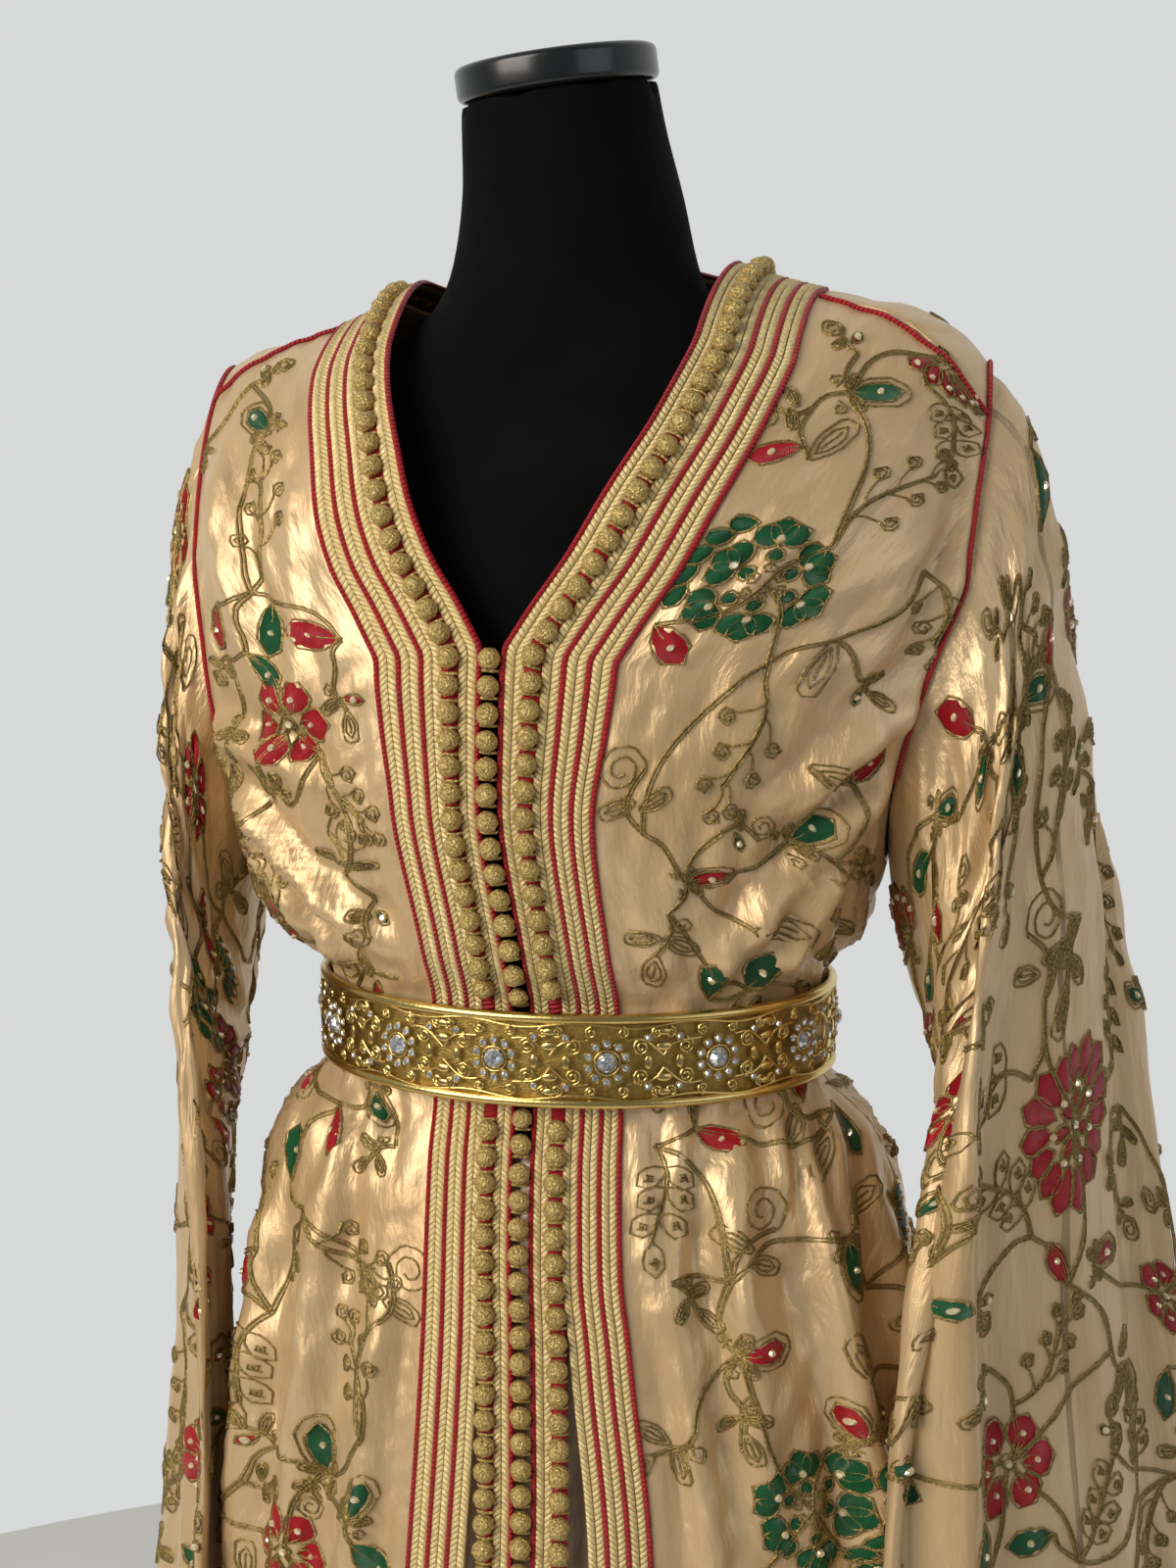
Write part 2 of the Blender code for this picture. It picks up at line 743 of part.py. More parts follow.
def arch_place(point):
    """The (x, climb) place on the arch of a point that lies on it."""
    x, y = float(point[0]), float(point[1])
    ahead = y < RIDGE_Y
    depth = float(base_depth(x, ahead))
    reach = (y - RIDGE_Y) / (depth + RIDGE_Y if ahead else depth - RIDGE_Y)
    return x, math.copysign(math.asin(min(abs(reach), 1.0) ** (ARCH_POWER / 2.0)), reach)


def back_top_edge(fronts, nape):
    """Points and normals of the back's top edge: shoulder seam, round the collar, seam."""
    points, normals = [], []
    for reach in reversed(side_reaches(fronts[-1][0])):
        points.append(fronts[-1][0].row.at(reach))
        normals.append(fronts[-1][0].row.normal(reach))
    for station in nape:
        points.append(station.place(TRIM_END, 0.0))
        normals.append(station.row.normal(station.reach(TRIM_END, True)))
    for reach in side_reaches(fronts[1][0]):
        points.append(fronts[1][0].row.at(reach))
        normals.append(fronts[1][0].row.normal(reach))
    return np.array(points), np.array(normals)


def back_panel(fronts, nape, finish):
    """The back, with the part under the trimming that runs round the nape."""
    columns = 2 * SIDE_COLUMNS + COLLAR_COLUMNS + 1
    share = np.linspace(0.0, 1.0, SAMPLES)
    low = []
    for z in BACK_HEIGHTS:
        ends = [abs(ring_bearing(s * float(armhole_x(z, s)), z, behind=True)) for s in (-1, 1)]
        if z <= UNDERARM_Z:
            ends = [math.pi / 2] * 2
        bearing = -ends[0] - (2 * math.pi - sum(ends)) * share
        low.append(equal_row(ring_point, bearing, np.full(SAMPLES, z), columns))
    top = back_top_edge(fronts, nape)
    rows = [top]
    for climb_share in BACK_CLIMB[1:]:
        places = []
        for top_point, base in zip(top[0], low[0][0]):
            top_x, top_climb = arch_place(top_point)
            x = base[0] + (top_x - base[0]) * climb_share
            places.append((x, math.pi / 2 + (top_climb - math.pi / 2) * climb_share))
        x, climb = np.array(places).T
        rows.append((arch_point(x, climb), outward_normal(arch_point, x, climb)))
    rows += low
    points = np.array([row[0] for row in rows])
    normals = np.array([row[1] for row in rows])
    edges = [
        (points[:, 0].copy(), points[:, 1].copy(), normals[:, 0].copy()),
        (points[:, -1].copy(), points[:, -2].copy(), normals[:, -1].copy()),
    ]
    seam = [*range(SIDE_COLUMNS + 1), *range(columns - SIDE_COLUMNS - 1, columns)]
    ends = points[0, seam]
    draw_back(ends, points[1, seam])
    points[0, seam] = ends
    draw_back(points[:, 0], points[:, 1])
    draw_back(points[:, -1], points[:, -2])

    quads = grid_quads(*points.shape[:2])
    above = list(range(SIDE_COLUMNS, SIDE_COLUMNS + COLLAR_COLUMNS + 1))
    collar_points, collar_normals = [], []
    for distance in [lane.start for lane in reversed(LANES) if lane.start >= PANEL_START]:
        first = points.shape[0] * columns + len(collar_points)
        row = [station.place(distance, 0.0) for station in nape]
        ends = [row[0], row[-1]]
        draw_back(ends, [row[1], row[-2]])
        row[0], row[-1] = ends
        collar_points += row
        collar_normals += [s.row.normal(s.reach(distance, True)) for s in nape]
        below = list(range(first, first + len(nape)))
        quads += [(below[j], below[j + 1], above[j + 1], above[j]) for j in range(COLLAR_COLUMNS)]
        above = below
    panel_wall("back", points, normals, collar_points, collar_normals, quads, finish)
    return edges


def sleeve(spec, loop, finish):
    """A wide sleeve from the armhole loop down to its open cuff."""
    side = spec.side
    count = len(loop)
    turn = math.radians(spec.turn)
    long_way = np.array([side * math.sin(turn), math.cos(turn), 0.0])
    short_way = np.array([side * math.cos(turn), -math.sin(turn), 0.0])
    cuff_middle = np.array([side * spec.cuff_x, spec.cuff_y, spec.cuff_z])
    top, bottom = max(p[2] for p in loop), min(p[2] for p in loop)
    grid = np.zeros((len(SLEEVE_STEPS), count, 3))
    for j, start in enumerate(loop):
        angle = 2 * math.pi * j / count
        flute = SLEEVE_FLUTE * math.cos(SLEEVE_FOLDS * angle + 0.7 * side)
        end = (
            cuff_middle
            + (spec.half_short + flute) * math.cos(angle) * short_way
            - (spec.half_long + flute) * math.sin(angle) * long_way
        )
        height = (start[2] - bottom) / (top - bottom)
        leave = np.array([side * (0.10 + spec.puff * height), 0.0, -1.0 + 0.55 * height])
        leave /= np.linalg.norm(leave)
        arrive = np.array([-side * (0.05 + 0.12 * height), 0.0, 1.0])
        near = start + (0.16 - 0.10 * height) * leave
        far = end + 0.30 * arrive
        for i, t in enumerate(SLEEVE_STEPS):
            grid[i, j] = (
                (1 - t) ** 3 * start
                + 3 * t * (1 - t) ** 2 * near
                + 3 * t**2 * (1 - t) * far
                + t**3 * end
            )
    wrap = np.concatenate([grid[:, -1:], grid, grid[:, :1]], axis=1)
    along = (wrap[:, 2:] - wrap[:, :-2]) / 2
    down = np.gradient(grid, axis=0)
    normal = np.cross(along, down)
    normal /= np.linalg.norm(normal, axis=-1, keepdims=True)
    middle = grid.mean(axis=1, keepdims=True)
    if np.sum(normal * (grid - middle)) < 0:
        normal = -normal
    outer = grid.reshape(-1, 3)
    inner = outer - CLOTH * normal.reshape(-1, 3)
    wall(spec.name, outer, inner, grid_quads(len(SLEEVE_STEPS), count, closed=True), finish)
    return grid, normal


def armhole_loop(front_edge, back_edge, side):
    """The armhole beside the panels' edges, from the shoulder tip round the front."""
    back_part = back_edge[1 : len(BACK_CLIMB) + 3]
    corners = [*front_edge[: UNDERARM_ROW + 2], *reversed(back_part)]
    loop = []
    for a, b in zip(corners, (*corners[1:], corners[0])):
        loop += [a, (a + b) / 2]
    return [point + np.array([side * GAP, 0.0, 0.0]) for point in loop]


# ---------------------------------------------------------------- trimmings off the panels
def button_rows(around, heights, finish):
    """The row of ball buttons that runs between the braids, from one front over the nape."""
    worn = [i for i, z in enumerate(heights) if z >= BUTTON_END_Z]
    lane = LANE_BY_NAME["lane_0"]
    sections = []
    for i in worn:
        outline = button_outline(lane.start, lane.end, button_top(heights[i]))
        sections.append([around[i].place(d, h) for d, h in outline])
    tube("button_row_neck", sections, finish)


def middle_buttons(finish):
    """The row of ball buttons that closes the fronts, from the point of the neckline down."""
    sections = []
    for row in FRONT_ROWS:
        z = row.inner
        if not BUTTON_END_Z <= z <= V_POINT_Z:
            continue
        x = float(column(SPANS, "swing", "z", z))
        point = front_point(x, z)
        normal = outward_normal(front_point, np.full(1, x), np.full(1, z))[0]
        outline = button_outline(-CLOSURE_HALF_GAP, CLOSURE_HALF_GAP, button_top(z))
        sections.append([point + np.array([d, 0.0, 0.0]) + h * normal for d, h in outline])
    tube("button_row_middle", sections, finish)


def seam_bar(sections, name, finish):
    """A cord on a seam: each section is a point, the way across the cord, and a normal."""
    lift = 3 * GAP
    outline = ((GAP, lift), (CORD_W, lift), (CORD_W - EDGE_LEAN, CORD_H), (GAP + EDGE_LEAN, CORD_H))
    rings = [[p + w * across + h * normal for w, h in outline] for p, across, normal in sections]
    tube(name, rings, finish)


def shoulder_cord(name, stations, finish):
    """The cord along a shoulder seam, on the front's side of it."""
    seam, below = stations[0], stations[1]
    reaches = [seam.reach(TRIM_END, True) + 3 * GAP, *side_reaches(seam)]
    reaches[-1] -= CORD_W + 6 * GAP
    sections = []
    for reach in reaches:
        point = seam.row.at(reach)
        step = below.row.at(min(reach * 1.05, below.row.length[-1])) - point
        sections.append((point, step / np.linalg.norm(step), seam.row.normal(reach)))
    seam_bar(sections, name, finish)


def armhole_cord(name, front, back_edge, back_step, back_normal, finish):
    """The cord round an armhole, on the panels beside the sleeve, open under the arm."""
    sections = []
    for station in front[:UNDERARM_ROW]:
        row = station.row
        point = row.at(row.length[-1] - 2 * GAP)
        step = row.at(row.length[-1] * 0.95) - point
        sections.append((point, step / np.linalg.norm(step), row.normal(row.length[-1])))
    sections.reverse()
    for i in range(1, len(BACK_CLIMB) + 3):
        step = back_step[i] - back_edge[i]
        across = step / np.linalg.norm(step)
        sections.append((back_edge[i] + 2 * GAP * across, across, back_normal[i]))
    seam_bar(sections, name, finish)


def inner_panel(finish):
    """The plain satin panel behind the opening, under the fronts."""
    below = [row.inner for row in FRONT_ROWS if row.inner < INNER_TOP_Z - 0.02]
    heights = np.array([INNER_TOP_Z, *below])
    bearings = np.radians(np.linspace(-INNER_REACH, INNER_REACH, 7))
    angle, z = np.meshgrid(bearings, heights)
    depth = np.interp(z, [HEM_Z, INNER_TOP_Z], [INNER_DEEP_HEM, INNER_DEEP_TOP])[..., None]
    normals = outward_normal(ring_point, angle, z)
    points = ring_point(angle, z) - depth * normals
    panel_wall("inner_panel", points, normals, [], [], grid_quads(*angle.shape), finish)


# ---------------------------------------------------------------- belt
def belt_place(bearing, out, z):
    """A point of the belt's oval at a distance outside its inner face."""
    depth = BELT_FRONT if math.cos(bearing) > 0 else BELT_BACK
    radius = 1.0 / math.hypot(math.sin(bearing) / BELT_SIDE, math.cos(bearing) / depth)
    across = np.array([math.sin(bearing) / BELT_SIDE**2, -math.cos(bearing) / depth**2, 0.0]) * radius
    normal = across / np.linalg.norm(across)
    point = np.array([radius * math.sin(bearing), -radius * math.cos(bearing), z])
    return point + out * normal, normal


def belt(metal, crystal):
    """The metal belt: a wall between two rolled rims, its stones, and a plain clasp behind."""
    bearings = [2 * math.pi * k / 60 for k in range(60)]
    low, high = BELT_LOW + BELT_RIM + GAP, BELT_HIGH - BELT_RIM - GAP
    corners = ((0.0, low), (BELT_WALL, low), (BELT_WALL, high), (0.0, high))
    rings = [[belt_place(b, out, z)[0] for out, z in corners] for b in bearings]
    tube("belt_band", rings, metal, closed=True)
    half = BELT_RIM / 2
    circle = [(half * math.cos(t), half * math.sin(t)) for t in np.arange(6) * math.pi / 3]
    for name, z in (("belt_rim_low", BELT_LOW + half), ("belt_rim_high", BELT_HIGH - half)):
        rings = [[belt_place(b, BELT_WALL / 2 + out, z + up)[0] for out, up in circle] for b in bearings]
        tube(name, rings, metal, closed=True)
    octagon = [(math.cos(t), math.sin(t)) for t in np.arange(8) * math.pi / 4]
    for number, bearing in enumerate(stone_bearings()):
        profile = [(rise, [(r * a, r * b) for a, b in octagon]) for rise, r in STONE_PROFILE]
        boss(f"belt_stone_{number + 1:02d}", bearing, profile, crystal)
    profile = []
    for rise, trim in CLASP_PROFILE:
        w, h = CLASP_W / 2 - trim, CLASP_H / 2 - trim
        profile.append((rise, [(-w, -h), (w, -h), (w, h), (-w, h)]))
    boss("belt_clasp", math.pi, profile, metal)


def boss(name, bearing, profile, finish):
    """A raised piece on the belt's face: (height, outline as across and up) per section."""
    point, normal = belt_place(bearing, BELT_WALL + GAP, (BELT_LOW + BELT_HIGH) / 2)
    up = np.array([0.0, 0.0, 1.0])
    side = np.cross(normal, up)
    sections = [[point + rise * normal + a * side + b * up for a, b in outline] for rise, outline in profile]
    tube(name, sections, finish)


def stone_bearings():
    """Bearings of the stones at equal distances round the belt, none where the clasp is."""
    fine = np.linspace(-math.pi, math.pi, 721)
    points = np.array([belt_place(b, BELT_WALL, 0.0)[0] for b in fine])
    length = np.concatenate([[0.0], np.cumsum(np.linalg.norm(np.diff(points, axis=0), axis=1))])
    start = (STONE_LEAD + 0.5) / BELT_STONES
    at = length[-1] * (start + np.arange(BELT_STONES - 1) / BELT_STONES)
    return [float(b) for b in np.interp(at, length, fine)]


# ---------------------------------------------------------------- dress form
def neck_axis(ring):
    """The upward axis of a ring of the neck."""
    tilt, lean = math.radians(ring.tilt), math.radians(NECK_LEAN)
    return np.array([math.sin(tilt) * math.sin(lean), -math.sin(tilt) * math.cos(lean), math.cos(tilt)])


def neck_ring(ring, sides):
    """Points of a tilted ring of the neck."""
    axis = neck_axis(ring)
    ahead = np.array([0.0, -axis[2], axis[1]])
    ahead /= np.linalg.norm(ahead)
    aside = np.cross(axis, ahead)
    middle = np.array([0.0, ring.y, ring.z])
    turn = np.arange(sides) * 2 * math.pi / sides
    half_width, half_depth = ring.half_width, ring.half_depth
    return [middle + half_width * math.sin(t) * aside + half_depth * math.cos(t) * ahead for t in turn]


def dress_form(jersey, plastic, metal):
    """The limbless form, its neck cap, the pole and the round base."""
    sections = []
    for ring in FORM_RINGS:
        section = []
        for t in np.arange(FORM_SIDES) * 2 * math.pi / FORM_SIDES:
            depth = ring.front if math.cos(t) > 0 else ring.back
            section.append((ring.half_width * math.sin(t), -depth * math.cos(t), ring.z))
        sections.append(section)
    sections += [neck_ring(ring, FORM_SIDES) for ring in NECK_RINGS]
    tube("form_torso", sections, jersey)
    top = NECK_RINGS[-1]
    axis = neck_axis(top)
    rings = []
    for rise, half in zip(CAP_HEIGHTS, CAP_HALF_WIDTHS):
        ring = neck_ring(top._replace(half_width=half, half_depth=half), FORM_SIDES)
        rings.append([p + (rise + GAP) * axis for p in ring])
    tube("neck_cap", rings, plastic)
    upright("stand_pole", POLE_D / 2, ((BASE_H + GAP, 0.0), (FORM_RINGS[0].z - GAP, 0.0)), 16, metal)
    foot = ((0.0, 0.0), (BASE_H - BASE_EDGE, 0.0), (BASE_H, BASE_EDGE))
    upright("stand_base", BASE_D / 2, foot, 48, metal)


def upright(name, radius, profile, sides, finish):
    """A turned piece on the upright axis: (height, how far its edge is drawn in)."""
    circle = [(math.cos(t), math.sin(t)) for t in np.arange(sides) * 2 * math.pi / sides]
    sections = [[((radius - inset) * a, (radius - inset) * b, z) for a, b in circle] for z, inset in profile]
    tube(name, sections, finish)


# ---------------------------------------------------------------- build
def build():
    """Makes every piece."""
    satin = material("gold_satin", (0.62, 0.47, 0.27), 0.35)
    plain = material("inner_satin", (0.60, 0.47, 0.36), 0.35)
    braid = material("gold_braid", (0.50, 0.41, 0.20), 0.45, 0.5)
    red = material("red_cord", (0.38, 0.01, 0.02), 0.6)
    buttons = material("button_thread", (0.52, 0.42, 0.20), 0.5, 0.4)
    gold = material("belt_gold", (0.60, 0.42, 0.12), 0.25, 1.0)
    crystal = material("crystal", (0.90, 0.90, 0.92), 0.05)
    jersey = material("black_jersey", (0.012, 0.012, 0.013), 0.9)
    plastic = material("cap_plastic", (0.02, 0.023, 0.027), 0.25)
    metal = material("stand_metal", (0.03, 0.03, 0.032), 0.4)

    sides = {-1: "left", 1: "right"}
    fronts = {side: front_stations(side) for side in sides}
    nape = [Station(row, fronts[1][0].factor, 0.0) for row in nape_rows()]
    back_edges = dict(zip(sides, back_panel(fronts, nape, satin)))
    for spec in SLEEVES:
        side, word = spec.side, sides[spec.side]
        front_edge = front_panel(f"front_{word}", fronts[side], satin)
        sleeve(spec, armhole_loop(front_edge, back_edges[side][0], side), satin)
        shoulder_cord(f"shoulder_cord_{word}", fronts[side], red)
        armhole_cord(f"armhole_cord_{word}", fronts[side], *back_edges[side], red)

    around = ordered_stations(fronts[-1], nape, fronts[1])
    for lane in LANES:
        on_panel = lane.start >= PANEL_START
        if lane.kind == "braid":
            lay_strip(lane.name, around, braid_outline(lane), braid, on_panel)
        elif lane.kind == "cord":
            lay_strip(lane.name, around, cord_outline(lane.start, lane.end), red, on_panel)
    button_rows(around, station_heights(), buttons)
    middle_buttons(buttons)
    inner_panel(plain)
    belt(gold, crystal)
    dress_form(jersey, plastic, metal)


for old in list(bpy.data.objects):
    bpy.data.objects.remove(old, do_unlink=True)
build()
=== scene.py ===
"""The finished kaftan: figured satin, couched embroidery, braids, ball buttons, a filigree belt and its form.

Metres, +Z up, front towards -Y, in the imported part's own frame. The cloth follows the same body surface
as the part's solids: the tables below give it, and every piece of trimming is laid on that surface.
"""

from __future__ import annotations

import sys

import logging
import math
import random
from dataclasses import dataclass, field
from enum import Enum
from typing import Callable, Iterable, NamedTuple, Sequence

import bpy
import numpy as np
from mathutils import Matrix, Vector


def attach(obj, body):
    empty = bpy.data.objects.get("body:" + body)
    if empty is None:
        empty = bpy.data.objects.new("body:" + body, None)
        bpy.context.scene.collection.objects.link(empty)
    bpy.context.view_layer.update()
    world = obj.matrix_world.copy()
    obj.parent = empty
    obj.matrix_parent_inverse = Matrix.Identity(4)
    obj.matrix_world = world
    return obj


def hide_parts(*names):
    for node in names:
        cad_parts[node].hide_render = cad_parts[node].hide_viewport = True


LOG = logging.getLogger("kaftan")
Array = np.ndarray
TAU = 2.0 * math.pi
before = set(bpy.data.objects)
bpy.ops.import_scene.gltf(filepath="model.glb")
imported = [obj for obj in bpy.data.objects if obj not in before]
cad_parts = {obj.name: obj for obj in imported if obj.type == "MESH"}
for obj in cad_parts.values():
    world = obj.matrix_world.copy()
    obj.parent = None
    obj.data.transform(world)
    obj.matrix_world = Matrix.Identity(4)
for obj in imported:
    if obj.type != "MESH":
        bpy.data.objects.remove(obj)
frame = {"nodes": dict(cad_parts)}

# ---------------------------------------------------------------- sizes of the worn garment
CLOTH = 0.0011
HEM_Z = 0.030
YOKE_Z = 1.250
UNDERARM_Z = 1.115
V_POINT_Z = 1.2235
SEAM_Z = 1.402
RIDGE_Y = 0.008
ARCH_POWER = 1.7
SHOULDER_TIP = {-1: 0.190, 1: 0.206}
NECK_HALF_WIDTH = 0.080
NAPE_ANGLE = math.radians(38.0)
CLOSURE_HALF_GAP = 0.0043
CORD_W, BRAID_W, BUTTON_LANE_W = 0.0024, 0.0082, 0.0078
CORD_H = 0.0023
BUTTON_END_Z = 0.775
BELT_LOW, BELT_HIGH = 1.0055, 1.0515
BELT_SIDE, BELT_FRONT, BELT_BACK = 0.1318, 0.1080, 0.1000


class Ring(NamedTuple):
    """Half widths and depths of the garment at one height."""

    z: float
    left: float
    right: float
    front: float
    back: float
    square: float


RINGS = (
    Ring(0.030, 0.296, 0.300, 0.225, 0.262, 2.05),
    Ring(0.260, 0.258, 0.262, 0.200, 0.232, 2.05),
    Ring(0.460, 0.225, 0.230, 0.178, 0.203, 2.1),
    Ring(0.620, 0.199, 0.206, 0.158, 0.178, 2.1),
    Ring(0.740, 0.187, 0.194, 0.144, 0.160, 2.1),
    Ring(0.820, 0.181, 0.188, 0.135, 0.149, 2.15),
    Ring(0.882, 0.175, 0.181, 0.127, 0.140, 2.2),
    Ring(0.936, 0.166, 0.171, 0.117, 0.127, 2.2),
    Ring(0.975, 0.155, 0.156, 0.108, 0.113, 2.2),
    Ring(1.006, 0.1285, 0.128, 0.099, 0.0940, 2.1),
    Ring(1.050, 0.1285, 0.128, 0.099, 0.0930, 2.1),
    Ring(1.080, 0.160, 0.148, 0.111, 0.107, 2.25),
    Ring(1.115, 0.174, 0.160, 0.119, 0.113, 2.3),
    Ring(1.155, 0.183, 0.173, 0.125, 0.116, 2.3),
    Ring(1.200, 0.191, 0.193, 0.126, 0.116, 2.3),
    Ring(1.250, 0.197, 0.211, 0.121, 0.115, 2.35),
)


class Crest(NamedTuple):
    """Height of the shoulder arch, the seam's angle before its top, the left side's drop."""

    x: float
    top: float
    seam: float
    left_drop: float


CRESTS = (
    Crest(-0.040, 1.446, -2.0, 0.000),
    Crest(0.000, 1.462, -2.0, 0.000),
    Crest(0.040, 1.446, -2.0, 0.000),
    Crest(0.080, 1.405, -4.0, 0.005),
    Crest(0.125, 1.391, -10.0, 0.012),
    Crest(0.160, 1.384, -18.0, 0.013),
    Crest(0.185, 1.374, -27.0, 0.013),
    Crest(0.206, 1.352, -36.0, 0.013),
    Crest(0.214, 1.335, -38.0, 0.013),
)


class EdgePoint(NamedTuple):
    """A half width at a height, for the neckline and for the armhole."""

    z: float
    x: float


NECK_EDGE = (
    EdgePoint(V_POINT_Z, CLOSURE_HALF_GAP),
    EdgePoint(1.245, 0.0175),
    EdgePoint(1.268, 0.0330),
    EdgePoint(1.310, 0.0535),
    EdgePoint(1.340, 0.0665),
    EdgePoint(1.365, 0.0745),
    EdgePoint(SEAM_Z, NECK_HALF_WIDTH),
)
ARMHOLE = (
    EdgePoint(UNDERARM_Z, 1.0),
    EdgePoint(1.160, 0.960),
    EdgePoint(1.205, 0.935),
    EdgePoint(YOKE_Z, 0.945),
)


class Span(NamedTuple):
    """The trimming's width, the front opening and the closure's swing at a height."""

    z: float
    trim: float
    open_left: float
    open_right: float
    swing: float


SPANS = (
    Span(0.030, 1.00, 0.030, 0.040, 0.000),
    Span(0.500, 0.98, 0.017, 0.026, 0.006),
    Span(0.800, 0.95, 0.006, 0.010, 0.010),
    Span(0.890, 0.92, 0.001, 0.002, 0.007),
    Span(0.930, 0.89, 0.000, 0.000, 0.004),
    Span(1.000, 0.86, 0.000, 0.000, 0.001),
    Span(1.075, 0.84, 0.000, 0.000, -0.001),
    Span(1.150, 0.90, 0.000, 0.000, -0.008),
    Span(1.190, 1.01, 0.000, 0.000, -0.007),
    Span(V_POINT_Z, 1.08, 0.000, 0.000, -0.006),
    Span(1.285, 1.04, 0.000, 0.000, -0.004),
    Span(1.330, 0.99, 0.000, 0.000, 0.000),
    Span(1.450, 0.92, 0.000, 0.000, 0.000),
)


class FrontRow(NamedTuple):
    """One row across a front: its height at the opening and at the armhole or side seam."""

    z: float
    outer: float


FRONT_ROWS = (
    FrontRow(HEM_Z, HEM_Z),
    FrontRow(1.080, 1.080),
    FrontRow(UNDERARM_Z, UNDERARM_Z),
    FrontRow(1.150, 1.144),
    FrontRow(1.190, 1.170),
    FrontRow(V_POINT_Z, 1.195),
    FrontRow(1.250, 1.218),
    FrontRow(1.285, YOKE_Z),
    FrontRow(1.325, 1.288),
    FrontRow(1.365, 1.320),
)


class Fold(NamedTuple):
    """A long skirt fold: its bearing from the front middle, half width, height at the hem, top."""

    bearing: float
    reach: float
    height: float
    top: float


FOLDS = (
    Fold(-150.0, 13.0, 0.036, 0.95),
    Fold(-116.0, 12.0, 0.034, 0.90),
    Fold(-84.0, 10.0, 0.014, 0.86),
    Fold(-57.0, 10.0, 0.034, 0.96),
    Fold(-36.0, 8.0, 0.020, 0.85),
    Fold(41.0, 9.0, 0.030, 0.94),
    Fold(66.0, 10.0, 0.034, 0.97),
    Fold(93.0, 10.0, 0.024, 0.88),
    Fold(124.0, 12.0, 0.038, 0.95),
    Fold(158.0, 12.0, 0.032, 0.88),
    Fold(180.0, 9.0, 0.018, 0.80),
)


# ---------------------------------------------------------------- the body surface
def smooth(knots: Sequence[float], values: Sequence[float], at: Array | float) -> Array:
    """Reads a curve through values that never swings past them.

    Args:
        knots: Rising places of the values.
        values: One value a knot.
        at: Places to read.

    Returns:
        The curve's values there.
    """
    knots, values = np.asarray(knots, float), np.asarray(values, float)
    step = np.diff(knots)
    slope = np.diff(values) / step
    same = slope[:-1] * slope[1:] > 0
    tangent = np.zeros_like(values)
    total = np.where(same, slope[:-1] + slope[1:], 1.0)
    tangent[1:-1] = np.where(same, 2.0 * slope[:-1] * slope[1:] / total, 0.0)
    tangent[0], tangent[-1] = slope[0], slope[-1]
    at = np.clip(np.asarray(at, float), knots[0], knots[-1])
    i = np.clip(np.searchsorted(knots, at) - 1, 0, len(knots) - 2)
    t = (at - knots[i]) / step[i]
    return (
        values[i] * (1 + 2 * t) * (1 - t) ** 2
        + values[i + 1] * t**2 * (3 - 2 * t)
        + step[i] * (tangent[i] * t * (1 - t) ** 2 - tangent[i + 1] * t**2 * (1 - t))
    )


def column(table: Sequence, name: str, key: str, at: Array | float) -> Array:
    """Reads one column of a table as a smooth curve over another."""
    return smooth([getattr(r, key) for r in table], [getattr(r, name) for r in table], at)


def step_up(value: Array | float, low: float, high: float) -> Array:
    """Rises smoothly from 0 at low to 1 at high."""
    t = np.clip((np.asarray(value, float) - low) / (high - low), 0.0, 1.0)
    return t * t * (3.0 - 2.0 * t)


def ring_sizes(z: Array, right: Array) -> tuple[Array, Array, Array, Array]:
    """Gives half width, front, back and squareness of the garment at heights, for one side."""
    low = np.minimum(z, YOKE_Z)
    side = np.where(right, column(RINGS, "right", "z", low), column(RINGS, "left", "z", low))
    rest = [column(RINGS, name, "z", low) for name in ("front", "back", "square")]
    return side, *rest


def fold_height(angle: Array, z: Array) -> Array:
    """Says how far the long skirt folds stand out at bearings and heights."""
    out = np.zeros(np.broadcast(angle, z).shape)
    for fold in FOLDS:
        away = (np.degrees(angle) - fold.bearing + 180.0) % 360.0 - 180.0
        ridge = np.exp(-((away / fold.reach) ** 2)) - 0.35
        drop = np.clip((fold.top - z) / (fold.top - HEM_Z), 0.0, 1.0)
        near = np.clip(1.6 - np.abs(away) / (2.2 * fold.reach), 0.0, 1.0)
        out = out + fold.height * drop**0.8 * ridge * near
    return out


def ring_point(angle: Array, z: Array) -> Array:
    """Gives points of the skirt and bodice by bearing from the front middle and height."""
    angle, z = np.broadcast_arrays(np.asarray(angle, float), np.asarray(z, float))
    side, front, back, square = ring_sizes(z, np.sin(angle) > 0)
    depth = np.where(np.cos(angle) > 0, front, back)
    across = np.abs(np.sin(angle) / side) ** square
    along = np.abs(np.cos(angle) / depth) ** square
    radius = (across + along) ** (-1.0 / square)
    calm = np.clip((np.abs(np.degrees(angle)) - 22.0) / 12.0, 0.0, 1.0)
    radius = radius + calm * fold_height(angle, z)
    return np.stack([radius * np.sin(angle), -radius * np.cos(angle), z], axis=-1)


def base_depth(x: Array, front: Array | bool) -> Array:
    """Gives the depth of the garment at the yoke line, at a distance from the middle."""
    side, ahead, behind, square = ring_sizes(np.full(np.shape(x), YOKE_Z), np.asarray(x) > 0)
    share = np.clip(np.abs(x) / side, 0.0, 1.0)
    return np.where(front, ahead, behind) * (1.0 - share**square) ** (1.0 / square)


def crest_top(x: Array) -> Array:
    """Gives the height of the shoulder arch, a little lower on the left."""
    drop = column(CRESTS, "left_drop", "x", np.abs(x))
    return column(CRESTS, "top", "x", np.abs(x)) - np.where(np.asarray(x) < 0, drop, 0.0)


